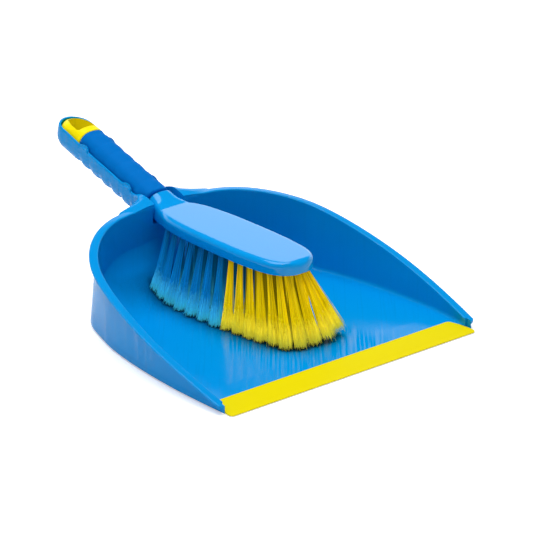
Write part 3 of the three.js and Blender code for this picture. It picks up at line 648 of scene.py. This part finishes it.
# ------------------------------------------------------------------ pan and lip
def lip_outline(grow):
    """Plan of the lip strip, widened by grow."""
    pts = []
    r = 4.2
    centre_x, centre_y = 106.4 - r - 0.6, LIP_DEPTH - r
    for k in range(9):
        a = math.pi / 2 - k / 8 * math.pi / 2 * 0.93
        pts.append((centre_x + r * math.cos(a) + grow, centre_y + r * math.sin(a) + grow))
    pts += [(107.4 + grow, 15.5), (108.6 + grow, 10.5), (109.6 + grow, 6.0)]
    r = 3.2
    for k in range(9):
        a = 0.12 - k / 8 * (math.pi / 2 + 0.12)
        pts.append((109.9 - r + r * math.cos(a) + grow,
                    r + r * math.sin(a) - (grow if k > 4 else 0)))
    return pts + [(-x, y) for x, y in pts[::-1]]


def build_pan():
    shell = tray()
    channel = channel_solid()
    boolean(channel, hollow_solid(), "DIFFERENCE")
    boolean(shell, channel, "UNION")
    boolean(shell, clearance_solid(), "DIFFERENCE")
    boolean(shell, rear_underside(), "DIFFERENCE")
    # rounded front corners
    corners = CORNER + [(-x, y) for x, y in CORNER[::-1]]
    boolean(shell, prism("clip", corners, -20, 200), "INTERSECT")
    # seat of the lip above a thin tongue, and the tongue's front edge
    boolean(shell, prism("seat", lip_outline(GAP), TONGUE_T, 8), "DIFFERENCE")
    trim = box("tf", (-110.3, 110.3), (TONGUE_FRONT - 20, TONGUE_FRONT), (-10, 10))
    boolean(shell, trim, "DIFFERENCE")
    finish_mesh(shell, 30)
    return shell


def lip_top(x, y):
    return LIP_FRONT_T + (LIP_BACK_T - LIP_FRONT_T) * max(y, 0) / LIP_DEPTH


def build_lip():
    lip = prism("lip_strip", lip_outline(0), 0.25, 6)
    boolean(lip, field_solid("lt", [-130, 130], [-10, 0, LIP_DEPTH, 40], lip_top, 20),
            "DIFFERENCE")
    tongue = box("tr", (-130, 130), (TONGUE_FRONT - GAP, 90), (-3, TONGUE_T + GAP))
    boolean(lip, tongue, "DIFFERENCE")
    add_bevel(lip, 0.18, 40)
    finish_mesh(lip, 40)
    return lip


# ------------------------------------------------------------------ brush sections
def block_section(y, n):
    """Ring of x z points of the block at y, evenly spaced, top centre first."""
    w = soft_table(BLOCK_W, y, 2.2)
    top, bottom = BLOCK_TOP, BLOCK_BOTTOM
    nose = 1.0
    if y < NOSE + NOSE_LEN:
        nose = math.sqrt(max(1 - ((NOSE + NOSE_LEN - y) / NOSE_LEN) ** 2, 0.0))
    w = max(w * nose ** 0.98, 0.05)
    # the nose rounds down at the top and slightly up at the bottom
    f = min(max((y - NOSE) / 5.2, 0.0), 1.0)
    top -= 4.6 * (1 - math.sqrt(max(1 - (1 - f) ** 2, 0.0)))
    bottom += 0.7 * (1 - min((y - NOSE) / 0.9, 1.0)) ** 2
    r = min(EDGE_R, (top - bottom) * 0.6)
    rx = min(r, w)
    crown = 0.10
    half = [[0.0, top]]
    for k in range(1, 7):
        half.append([(w - rx) * k / 6, top - crown * (k / 6) ** 2])
    for k in range(1, 17):
        a = k / 16 * math.pi / 2
        half.append([w - rx + rx * math.sin(a),
                     top - crown - (r - crown) + (r - crown) * math.cos(a)])
    low_r = min(0.8, w * 0.4)
    half.append([w, bottom + low_r])
    for k in range(1, 5):
        a = k / 4 * math.pi / 2
        half.append([w - low_r + low_r * math.cos(a), bottom + low_r - low_r * math.sin(a)])
    half.append([0.0, bottom])
    return closed_section(np.array(half), n)


def handle_section(hw, top, bottom, n, exponent=2.5, top_exponent=2.5):
    """Superelliptic ring of x v points; top and bottom are its reach from the axis."""
    a = np.linspace(0, math.pi, 161)
    power = 2 / np.where(np.cos(a) > 0, top_exponent, exponent)
    x = hw * np.abs(np.sin(a)) ** power
    reach = np.where(np.cos(a) >= 0, top, bottom)
    v = reach * np.sign(np.cos(a)) * np.abs(np.cos(a)) ** power
    return closed_section(np.stack([x, v], 1), n)


def handle_ring(section, s, low_z):
    """Section placed on the handle axis and kept above low_z."""
    ring = [axis_point(x, s, v) for x, v in section]
    for p in ring:
        p[2] = max(p[2], low_z)
    return ring


def inset_section(inset, n):
    """Section of the grip, moved inwards."""
    return handle_section(GRIP_HW - inset, GRIP_TOP - inset, GRIP_BOTTOM - inset, n)


def neck_ring(y, n):
    """Between the block's upright section and the handle's tilted one; turns up at a crease."""
    turn = smoothstep((y - NECK0) / (NECK1 - NECK0), 0.10, 1.0)
    w = soft_table(BLOCK_W, y, 1.6)
    top = soft_table(NECK_TOP, y, 0.35)
    bottom = soft_table(NECK_BOTTOM, y, 1.0)
    centre_z, pivot_z = 57.5, 62.0
    block = block_section(186.0, n)
    up = (block[:, 1] - BLOCK_BOTTOM) / (BLOCK_TOP - BLOCK_BOTTOM)
    block = np.stack([block[:, 0] * w / abs(block[:, 0]).max(), bottom + up * (top - bottom)], 1)
    handle = handle_section(w, top - centre_z, centre_z - bottom, n, 2.3, 2.8)
    handle = np.stack([handle[:, 0], handle[:, 1] + centre_z], 1)
    lean = math.tan(SLOPE * turn)
    return [point(x, y - (z - pivot_z) * lean, z) for x, z in block * (1 - turn) + handle * turn]


# ------------------------------------------------------------------ tuft places
def tuft_list():
    """(x, y, tip dx, tip dy, is blue, tag) for every tuft."""
    tufts = []
    for i, (outer, inner) in enumerate(zip(OUTER, INNER)):
        row = ((-1, outer), (-1, inner), (1, inner), (1, outer))
        for letter, (side, (x, y, dx, dy)) in zip("abcd", row):
            tufts.append((side * x, y, side * dx, dy, i < BLUE_ROWS, f"{i + 1:02d}{letter}"))
    for letter, (x, y, dx, dy) in zip("abcde", NOSE_TUFTS):
        tufts.append((x, y, dx, dy, False, f"13{letter}"))
    return tufts


TUFTS = tuft_list()


def tuft_holes():
    verts, faces = [], []
    n = HOLE_SIDES
    for x, y, *_ in TUFTS:
        first = len(verts)
        for z in (40.0, HOLE_TOP):
            for k in range(n):
                a = k / n * 2 * math.pi
                verts.append(point(x + HOLE_R * math.cos(a), y + HOLE_R * math.sin(a), z))
        faces += [tuple(first + k for k in range(n)), tuple(first + n + k for k in range(n))]
        faces += ring_sides(2, n, first)
    return make_obj("holes", verts, faces)


# ------------------------------------------------------------------ brush parts
def build_brush_body():
    """Block, neck and the core under the sleeve in one loft."""
    n = 56
    ys = [NOSE + 0.02]
    ys += [NOSE + NOSE_LEN * (1 - math.cos(k / 30 * math.pi / 2)) for k in range(2, 31)]
    ys += spaced(NOSE + NOSE_LEN + 1.5, 186, 2.5)
    rings = [[point(x, y, z) for x, z in block_section(y, n)] for y in ys]
    rings += [neck_ring(y, n) for y in spaced(NECK0 + 0.6, NECK1, 0.9)]
    inset = GRIP_T + GAP
    rings += [handle_ring(inset_section(inset, n), s, HANDLE_LOW_Z + inset)
              for s in spaced(GRIP_S0 - 0.25, 43.0, 4.0)]
    body = loft("brush_body", rings)
    boolean(body, tuft_holes(), "DIFFERENCE")
    finish_mesh(body, 33)
    return body


def sleeve_ring(s):
    # rounded ends and shallow finger grooves
    edge = 0.9 * max(0.0, 1 - (s - GRIP_S0) / 0.9) ** 2
    edge += 0.35 * max(0.0, 1 - (GRIP_S1 - s) / 0.5) ** 2
    cut = 0.55 * groove(s, 1.6)
    section = handle_section(GRIP_HW - edge - cut, GRIP_TOP - edge - cut * 0.8,
                             GRIP_BOTTOM - edge, 44, top_exponent=2.8)
    return handle_ring(section, s, HANDLE_LOW_Z)


def bore_solid():
    """Hollow for the core, running from the sleeve into the cap."""
    stations = [GRIP_S0 - 3] + spaced(GRIP_S0 + 0.3, GRIP_S1 - 0.3, 4.0) + [43.8]
    section = inset_section(GRIP_T, 40)
    return loft("bore", [handle_ring(section, s, HANDLE_LOW_Z + GRIP_T) for s in stations])


def build_sleeve():
    """Returns the sleeve and the bore, which is still needed for the cap."""
    stations = [GRIP_S0 + d for d in (0, 0.15, 0.4, 0.8)]
    stations += spaced(GRIP_S0 + 1.4, GRIP_S1 - 1.0, 0.8)
    stations += [GRIP_S1 - d for d in (0.5, 0.2, 0)]
    sleeve = loft("grip_cover", [sleeve_ring(s) for s in stations])
    bore = bore_solid()
    boolean(sleeve, bore, "DIFFERENCE", keep=True)
    finish_mesh(sleeve, 40)
    return sleeve, bore


def rounded_polygon(radius, corners):
    out = []
    count = len(corners)
    for i in range(count):
        corner = np.array(corners[i])
        before, after = np.array(corners[i - 1]), np.array(corners[(i + 1) % count])
        to_before = (before - corner) / np.linalg.norm(before - corner)
        to_after = (after - corner) / np.linalg.norm(after - corner)
        half = math.acos(float(to_before @ to_after)) / 2
        bisector = (to_before + to_after) / np.linalg.norm(to_before + to_after)
        centre = corner + bisector * radius / math.sin(half)
        start = corner + to_before * radius / math.tan(half) - centre
        end = corner + to_after * radius / math.tan(half) - centre
        a0, a1 = math.atan2(start[1], start[0]), math.atan2(end[1], end[0])
        while a1 < a0:
            a1 += 2 * math.pi
        for k in range(13):
            a = a0 + (a1 - a0) * k / 12
            out.append((centre[0] + radius * math.cos(a), centre[1] + radius * math.sin(a)))
    return out


def cap_ring(s):
    narrow = tip_factor(s, CAP_TIP, CAP_TIP_LEN)
    top = soft_table(CAP_TOP, s, 1.5)
    edge = 0.3 * max(0.0, 1 - (s - GRIP_S1 - GAP) / 0.4) ** 2
    section = handle_section(GRIP_HW * narrow - edge, top * narrow ** 0.35 - edge,
                             GRIP_BOTTOM * narrow ** 0.7 - edge, 44, top_exponent=2.8)
    return [axis_point(x, s, v) for x, v in section]


def build_cap(bore):
    stations = [GRIP_S1 + GAP + d for d in (0, 0.15, 0.4)]
    stations += spaced(GRIP_S1 + 1.5, CAP_TIP - CAP_TIP_LEN, 1.0)
    stations += tip_stations(CAP_TIP, CAP_TIP_LEN, 26, reach=0.995)
    cap = loft("hang_cap_shell", [cap_ring(s) for s in stations])
    boolean(cap, bore, "DIFFERENCE")
    outline = rounded_polygon(2.2, EYE)
    eye = loft("eye", [[axis_point(x, s, v) for x, s in outline] for v in (-14, 4.0, 30.0)])
    boolean(cap, eye, "DIFFERENCE")
    add_bevel(cap, 0.6, 48)
    finish_mesh(cap, 40)
    return cap


# ------------------------------------------------------------------ bristles
FILAMENTS = 110
SPLIT_TIPS = 3
FILAMENT_R = 0.20
# fractions of the length at which a filament has a ring
PATH_STEPS = [0, 0.12, 0.25, 0.38, 0.5, 0.6, 0.68, 0.74]


class Strands:
    """Collects three-sided strands and what the bristle material reads from them."""

    def __init__(self, inner):
        self.inner = inner
        self.verts, self.faces = [], []
        self.along, self.random, self.shade = [], [], []

    def shade_at(self, f):
        # painted shade for the bristle colour: the inner tufts darken along most of their length,
        # the outer ones only at the root
        if self.inner:
            return 1 - 0.75 * f ** 3
        return 0.30 * max(0.0, 1 - f / 0.22) ** 2

    def add(self, path, radii, fractions, random):
        first = len(self.verts)
        turn = RNG.random() * 6.28
        for p, r, f in zip(path, radii, fractions):
            for k in range(3):
                a = turn + k * 2.0944
                self.verts.append(p + np.array([math.cos(a) * r, math.sin(a) * r, 0.0]))
                self.along.append(f)
                self.random.append(random)
                self.shade.append(self.shade_at(f))
        self.faces += ring_sides(len(path), 3, first)
        self.faces.append((first + 2, first + 1, first))
        last = first + (len(path) - 1) * 3
        self.faces.append((last, last + 1, last + 2))

    def build(self, name):
        mesh = bpy.data.meshes.new(name)
        mesh.from_pydata([tuple(p * MM) for p in self.verts], [], self.faces)
        obj = link_object(name, mesh)
        for key, values in (("along", self.along), ("rnd", self.random), ("shade", self.shade)):
            attribute = mesh.attributes.new(key, "FLOAT", "POINT")
            attribute.data.foreach_set("value", np.array(values, np.float32))
        smooth_all(mesh)
        return obj


def above_floor(x, y, z, clearance):
    """z, lifted if needed to stay clear of the pan floor."""
    return max(z, floor_height(min(abs(x) + 1, 90), y + 1) + clearance)


def add_filament(strands, k, tuft, spread, trim, bend_power):
    """One filament with a split end; the order of the random draws matters."""
    x, y, dx, dy = tuft
    # roots and tips fill two discs in a sunflower pattern
    ring = math.sqrt((k + 0.5) / FILAMENTS)
    angle = k * 2.39996 + RNG.normal() * 0.15
    unit_x, unit_y = ring * math.cos(angle), ring * math.sin(angle)
    root_x, root_y = x + unit_x * ROOT_R, y + unit_y * ROOT_R
    out_x = dx + unit_x * (spread[0] - ROOT_R) + RNG.normal() * 0.35
    out_y = dy + unit_y * (spread[1] - ROOT_R) + RNG.normal() * 0.35
    # a few stray
    if RNG.random() < 0.03:
        out_x += RNG.normal() * 1.3
        out_y += RNG.normal() * 1.3
    end_x, end_y = root_x + out_x, root_y + out_y
    # a quarter are cut shorter
    length = TUFT_LEN + trim + RNG.normal() * 0.5 - (RNG.random() < 0.25) * RNG.random() * 2.6
    end_z = BLOCK_BOTTOM - math.sqrt(max(length * length - out_x * out_x - out_y * out_y, 400))
    end_z = above_floor(end_x, end_y, end_z, 0.45)
    tone = RNG.random()
    steps = PATH_STEPS[:len(PATH_STEPS) - int(RNG.random() * 3)]
    bow_x, bow_y = RNG.normal() * 0.25, RNG.normal() * 0.25

    def position(f):
        wave = math.sin(f * math.pi)
        g = f ** bend_power
        return point(root_x + dx * f + (end_x - root_x - dx) * g + bow_x * wave,
                     root_y + dy * f + (end_y - root_y - dy) * g + bow_y * wave,
                     BLOCK_BOTTOM + (end_z - BLOCK_BOTTOM) * f)

    path = [point(root_x, root_y, HOLE_TOP - 4)] + [position(f) for f in steps]
    strands.add(path, [FILAMENT_R] * len(path), [0.0] + steps, tone)
    # the end splits into finer tips
    split = steps[-1] + RNG.random() * 0.08
    base = position(split)
    strands.add([position(steps[-1]), base], [FILAMENT_R, 0.17], [steps[-1], split], tone)
    reach = position(1.0) - base
    for _ in range(SPLIT_TIPS):
        tip = base + reach * (1.0 + RNG.normal() * 0.08)
        tip = tip + np.array([RNG.normal() * 0.50, RNG.normal() * 0.50, 0])
        tip[2] = above_floor(tip[0], tip[1] + ORIGIN_Y, tip[2], 0.3)
        middle = base * 0.5 + tip * 0.5
        middle = middle + np.array([RNG.normal() * 0.22, RNG.normal() * 0.22, 0])
        tip_tone = min(1.0, tone * 0.45 + RNG.random() * 0.55)
        strands.add([base, middle, tip], [0.16, 0.13, 0.07], [split, (split + 1) / 2, 1.0],
                    tip_tone)


def build_tuft(x, y, dx, dy, color, tag):
    at_nose = tag.startswith("13")
    if at_nose:
        spread, bend_power = (4.8, 4.2), 1.25
    else:
        # narrower next to the neck
        spread, bend_power = (4.0, 3.4) if y > 172 else (4.7, 4.4), 2.1
    strands = Strands(inner=abs(x) < 6.5 and not at_nose)
    trim = RNG.normal() * 0.5
    for k in range(FILAMENTS):
        add_filament(strands, k, (x, y, dx, dy), spread, trim, bend_power)
    return strands.build(f"bristles_{color}_{tag}")


# ------------------------------------------------------------------ shader helpers
class Nodes:
    """Adds nodes to a tree; an input given as a socket is linked, any other is a value."""

    def __init__(self, owner, clear=False):
        owner.use_nodes = True
        self.tree = owner.node_tree
        if clear:
            self.tree.nodes.clear()

    def feed(self, node, inputs):
        for key, value in inputs.items():
            if isinstance(value, bpy.types.NodeSocket):
                self.tree.links.new(value, node.inputs[key])
            else:
                node.inputs[key].default_value = value

    def add(self, kind, inputs=None, **settings):
        node = self.tree.nodes.new("ShaderNode" + kind)
        for key, value in settings.items():
            setattr(node, key, value)
        self.feed(node, inputs or {})
        return node

    def math(self, operation, *inputs):
        return self.add("Math", dict(enumerate(inputs)), operation=operation).outputs[0]

    def remap(self, value, start=(0.0, 1.0), to=(0.0, 1.0), smooth=False):
        """Map the range start to the range to."""
        return self.add("MapRange", {
            "Value": value, "From Min": start[0], "From Max": start[1],
            "To Min": to[0], "To Max": to[1],
        }, interpolation_type="SMOOTHSTEP" if smooth else "LINEAR").outputs["Result"]

    def noise(self, vector, scale, detail):
        inputs = {"Vector": vector, "Scale": scale, "Detail": detail}
        return self.add("TexNoise", inputs).outputs["Fac"]

    def attribute(self, name):
        return self.add("Attribute", attribute_name=name).outputs["Fac"]


# ------------------------------------------------------------------ materials
def painted_shade_and_floor_sheen(nodes, coords, painted_shade, spec):
    """Painted shade under the brush and the streaky sheen of the pan floor.

    Returns the painted shade factor for the colour, and the specular level, which the painted shade
    dims as well.
    """
    # painted shade: the colour darkens where something stands just above the surface, as found by
    # an occlusion node
    near = nodes.add("AmbientOcclusion", {"Distance": 0.034}, samples=8).outputs["AO"]
    near = nodes.remap(near, start=(0.44, 0.95), to=(1 - painted_shade, 1.0), smooth=True)
    # not out to the sides, not higher up, and not on faces that do not look up
    place = nodes.add("SeparateXYZ", {0: coords})
    aside = nodes.math("ABSOLUTE", place.outputs["X"])
    normal = nodes.add("SeparateXYZ", {0: nodes.add("NewGeometry").outputs["Normal"]})
    tilt = nodes.math("SUBTRACT", 1.0, normal.outputs["Z"])
    side_mask = nodes.remap(aside, start=(0.040, 0.060), smooth=True)
    height_mask = nodes.remap(place.outputs["Z"], start=(0.008, 0.030), smooth=True)
    tilt_mask = nodes.remap(tilt, start=(0.12, 0.45), smooth=True)
    off = nodes.math("MAXIMUM", side_mask, nodes.math("MAXIMUM", height_mask, tilt_mask))
    painted_shade_factor = nodes.math("MAXIMUM", near, off)
    # drawing lines left by the mould, seen in the sheen of the floor
    turned = nodes.add("Mapping", {"Rotation": (0, 0, math.radians(39.8)), "Vector": coords})
    stretched = nodes.add("VectorMath", {0: turned.outputs["Vector"], 1: (620.0, 16.0, 16.0)},
                          operation="MULTIPLY")
    lines = nodes.noise(stretched.outputs[0], scale=1.0, detail=1.5)
    lines = nodes.remap(lines, start=(0.47, 0.68), to=(0.0, spec * 3.0))
    plain = nodes.math("MULTIPLY", off, spec * 1.05)
    # the painted shade dims the sheen as well
    sheen = nodes.math("MULTIPLY", nodes.math("MAXIMUM", lines, plain), painted_shade_factor)
    return painted_shade_factor, sheen


def plastic(name, color, rough, bump, edge, spec, grain=900.0, rough_var=0.05, coat=0.0,
            painted_glow=0.0, painted_shade=0.0):
    """Moulded plastic; edge is the shaded edge radius in mm, glow the strength of painted light,
    close the strength of painted shade on the floor.
    """
    mottling = 0.03
    material = bpy.data.materials.new(name)
    nodes = Nodes(material, clear=True)
    output = nodes.add("OutputMaterial")
    shader = nodes.add("BsdfPrincipled", {
        "Coat Weight": coat,
        "Coat Roughness": 0.08,
        "Specular IOR Level": spec})
    nodes.feed(output, {"Surface": shader.outputs["BSDF"]})
    coords = nodes.add("TexCoord").outputs["Object"]
    # slow colour mottling
    value = nodes.remap(nodes.noise(coords, scale=14.0, detail=3.0),
                        to=(1 - mottling, 1 + mottling))
    # painted shade under the brush darkens the colour and the sheen
    if painted_shade:
        painted_shade_factor, sheen = painted_shade_and_floor_sheen(nodes, coords, painted_shade, spec)
        value = nodes.math("MULTIPLY", value, painted_shade_factor)
        nodes.feed(shader, {"Specular IOR Level": sheen})
    tint = nodes.add("HueSaturation", {"Color": color, "Value": value}).outputs["Color"]
    nodes.feed(shader, {"Base Color": tint})
    # painted light: the surface glows in its own colour
    if painted_glow:
        nodes.feed(shader, {"Emission Color": tint, "Emission Strength": painted_glow})
    roughness = nodes.remap(nodes.noise(coords, scale=60.0, detail=4.0),
                            to=(max(rough - rough_var, 0.02), rough + rough_var))
    # moulded grain over softened edges
    soft_edge = nodes.add("Bevel", {"Radius": edge * MM}, samples=4)
    grain_bump = nodes.add("Bump", {
        "Strength": bump,
        "Distance": 0.0004,
        "Height": nodes.noise(coords, scale=grain, detail=2.0),
        "Normal": soft_edge.outputs["Normal"]})
    nodes.feed(shader, {"Roughness": roughness, "Normal": grain_bump.outputs["Normal"]})
    return material


def bristle(name, root, middle, late, tip, painted_glow):
    """Filament plastic, coloured from root to tip, which glows in its own colour as painted light.
    """
    material = bpy.data.materials.new(name)
    nodes = Nodes(material)
    shader = nodes.tree.nodes["Principled BSDF"]
    output = next(n for n in nodes.tree.nodes if n.type == "OUTPUT_MATERIAL")
    along = nodes.attribute("along")
    ramp = nodes.add("ValToRGB", {"Fac": along})
    elements = ramp.color_ramp.elements
    elements[0].position, elements[0].color = 0.0, root
    elements[1].position, elements[1].color = 1.0, tip
    for position, color in ((0.30, middle), (0.66, late)):
        elements.new(position).color = color
    tone = nodes.remap(nodes.attribute("rnd"), to=(0.68, 1.20))
    # painted shade: the colour darkens on the inner tufts and near the roots, where light reaches
    # less
    painted_shade_dim = nodes.remap(nodes.attribute("shade"), to=(1.0, 0.36))
    color = nodes.add("HueSaturation", {
        "Color": ramp.outputs["Color"],
        "Value": nodes.math("MULTIPLY", tone, painted_shade_dim)}).outputs["Color"]
    nodes.feed(shader, {
        "Base Color": color,
        "Roughness": 0.42,
        "Specular IOR Level": 0.3,
        "Emission Color": color,
        # painted light: the filaments glow in their own colour
        "Emission Strength": nodes.remap(along, start=(0.6, 1.0), to=(painted_glow, painted_glow * 1.05),
                                         smooth=True)})
    # light passes through the thin filaments
    through = nodes.add("BsdfTranslucent", {"Color": color})
    mix = nodes.add("MixShader", {0: 0.40, 1: shader.outputs["BSDF"], 2: through.outputs["BSDF"]})
    nodes.feed(output, {"Surface": mix.outputs[0]})
    return material


def make_materials():
    return {
        # the pan floor gets painted shade under the brush
        "pan": plastic("pan_polypropylene", (0.0, 0.29, 0.735, 1), rough=0.17, bump=0.02,
                       edge=0.35, spec=0.12, painted_shade=0.94),
        "block": plastic("block_polypropylene", (0.0, 0.32, 0.80, 1), rough=0.06, bump=0.004,
                         edge=0.3, spec=0.32, coat=0.16, rough_var=0.01),
        "grip": plastic("grip_elastomer", (0.0, 0.155, 0.535, 1), rough=0.55, bump=0.10,
                        edge=0.3, spec=0.02, grain=1400, rough_var=0.06),
        # the cap glows faintly in its own colour: painted light
        "cap": plastic("cap_polypropylene", (0.90, 0.74, 0.0, 1), rough=0.34, bump=0.03,
                       edge=0.25, spec=0.12, painted_glow=0.10),
        "lip": plastic("lip_elastomer", (0.80, 0.68, 0.0, 1), rough=0.5, bump=0.06,
                       edge=0.15, spec=0.05, grain=1200),
        # the bristles glow in their own colour: painted light
        "blue": bristle("bristle_blue", root=(0.0, 0.21, 0.52, 1), middle=(0.0, 0.31, 0.68, 1),
                        late=(0.005, 0.42, 0.80, 1), tip=(0.13, 0.86, 1.0, 1), painted_glow=0.30),
        "yellow": bristle("bristle_yellow", root=(0.86, 0.66, 0.0, 1),
                          middle=(0.95, 0.80, 0.0, 1), late=(0.98, 0.86, 0.0, 1),
                          tip=(1.0, 0.96, 0.12, 1), painted_glow=0.28),
    }


def dress(obj, material, rides_on, node):
    obj.data.materials.clear()
    obj.data.materials.append(material)
    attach(obj, rides_on)
    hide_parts(node)


# ------------------------------------------------------------------ stage, light and camera, metres
def build_floor():
    half, z = 6, -0.0003
    mesh = bpy.data.meshes.new("floor")
    mesh.from_pydata([(-half, -half, z), (half, -half, z), (half, half, z), (-half, half, z)],
                     [], [(0, 1, 2, 3)])
    floor = link_object("floor", mesh)
    material = bpy.data.materials.new("floor_pale")
    nodes = Nodes(material)
    # the floor glows for the camera only
    seen = nodes.add("LightPath").outputs["Is Camera Ray"]
    nodes.feed(nodes.tree.nodes["Principled BSDF"], {
        "Base Color": (0.93, 0.93, 0.93, 1),
        "Roughness": 0.85,
        "Specular IOR Level": 0.1,
        "Emission Color": (1, 1, 1, 1),
        "Emission Strength": nodes.math("MULTIPLY", seen, 0.42)})
    mesh.materials.append(material)
    return floor


def build_world():
    """White surroundings whose strength depends on the kind of ray."""
    camera_level, diffuse_level, glow_level = 1.0, 0.42, 1.35
    world = bpy.data.worlds.new("soft")
    bpy.context.scene.world = world
    nodes = Nodes(world, clear=True)
    direction = nodes.add("TexCoord").outputs["Generated"]
    facing = nodes.add("VectorMath", {0: direction, 1: (0.64, 0.768, 0.0)},
                       operation="DOT_PRODUCT").outputs["Value"]
    height = nodes.add("SeparateXYZ", {0: direction}).outputs["Z"]
    # reflections see a bright patch low behind the pan, and a faint sky that darkens upwards
    patch = nodes.math("MULTIPLY",
                       nodes.remap(facing, start=(0.1, 0.7), smooth=True),
                       nodes.remap(height, start=(0.475, 0.525), to=(1.0, 0.0), smooth=True))
    sky = nodes.remap(height, start=(0.02, 0.40), to=(0.35, 0.06), smooth=True)
    reflected = nodes.math("MAXIMUM", nodes.math("MULTIPLY", patch, glow_level), sky)
    rays = nodes.add("LightPath").outputs
    glossy, camera = rays["Is Glossy Ray"], rays["Is Camera Ray"]
    other = nodes.math(
        "ADD", nodes.math("MULTIPLY", camera, camera_level),
        nodes.math("MULTIPLY", nodes.math("SUBTRACT", 1.0, camera), diffuse_level))
    strength = nodes.math(
        "ADD", nodes.math("MULTIPLY", glossy, reflected),
        nodes.math("MULTIPLY", nodes.math("SUBTRACT", 1.0, glossy), other))
    background = nodes.add("Background", {"Color": (1, 1, 1, 1), "Strength": strength})
    nodes.add("OutputWorld", {"Surface": background.outputs[0]})


def place_and_aim(obj, location, target):
    obj.location = location
    direction = Vector(target) - Vector(location)
    obj.rotation_euler = direction.to_track_quat("-Z", "Y").to_euler()


def area_light(name, location, target, size, power):
    light = bpy.data.lights.new(name, "AREA")
    light.shape = "RECTANGLE"
    light.size, light.size_y = size
    light.energy = power
    obj = link_object(name, light)
    place_and_aim(obj, location, target)
    return obj


def build_camera():
    data = bpy.data.cameras.new("camera")
    data.lens = 202.6
    data.sensor_width = 36.0
    data.clip_end = 50
    camera = link_object("camera", data)
    place_and_aim(camera, location=(-1.2315, -1.4826, 0.8164), target=(0.0126, 0.0007, 0.0402))
    bpy.context.scene.camera = camera


# ------------------------------------------------------------------ build
shell = build_pan()
lip = build_lip()
body = build_brush_body()
sleeve, bore = build_sleeve()
cap = build_cap(bore)
tufts = []
for x, y, dx, dy, is_blue, tag in TUFTS:
    color = "blue" if is_blue else "yellow"
    tufts.append((build_tuft(x, y, dx, dy, color, tag), color, tag))

materials = make_materials()
dress(shell, materials["pan"], "dustpan", "pan_body")
dress(lip, materials["lip"], "dustpan", "pan_lip")
dress(body, materials["block"], "brush", "brush_block")
dress(sleeve, materials["grip"], "brush", "grip_sleeve")
dress(cap, materials["cap"], "brush", "hang_cap")
for tuft, color, tag in tufts:
    dress(tuft, materials[color], "brush", f"tuft_{color}_{tag}")

build_floor()
build_world()
bpy.context.scene.view_settings.view_transform = "Standard"
bpy.context.scene.view_settings.look = "None"
area_light("top", location=(-0.10, 0.15, 1.7), target=(0, 0.02, 0.05), size=(1.5, 1.5), power=27)
# small light that only shows as a highlight
glint = area_light("nose_glint", location=(-0.9, -0.55, 1.45), target=(0.0, -0.05, 0.06),
                   size=(0.14, 0.10), power=2.0)
glint.visible_diffuse = False
build_camera()
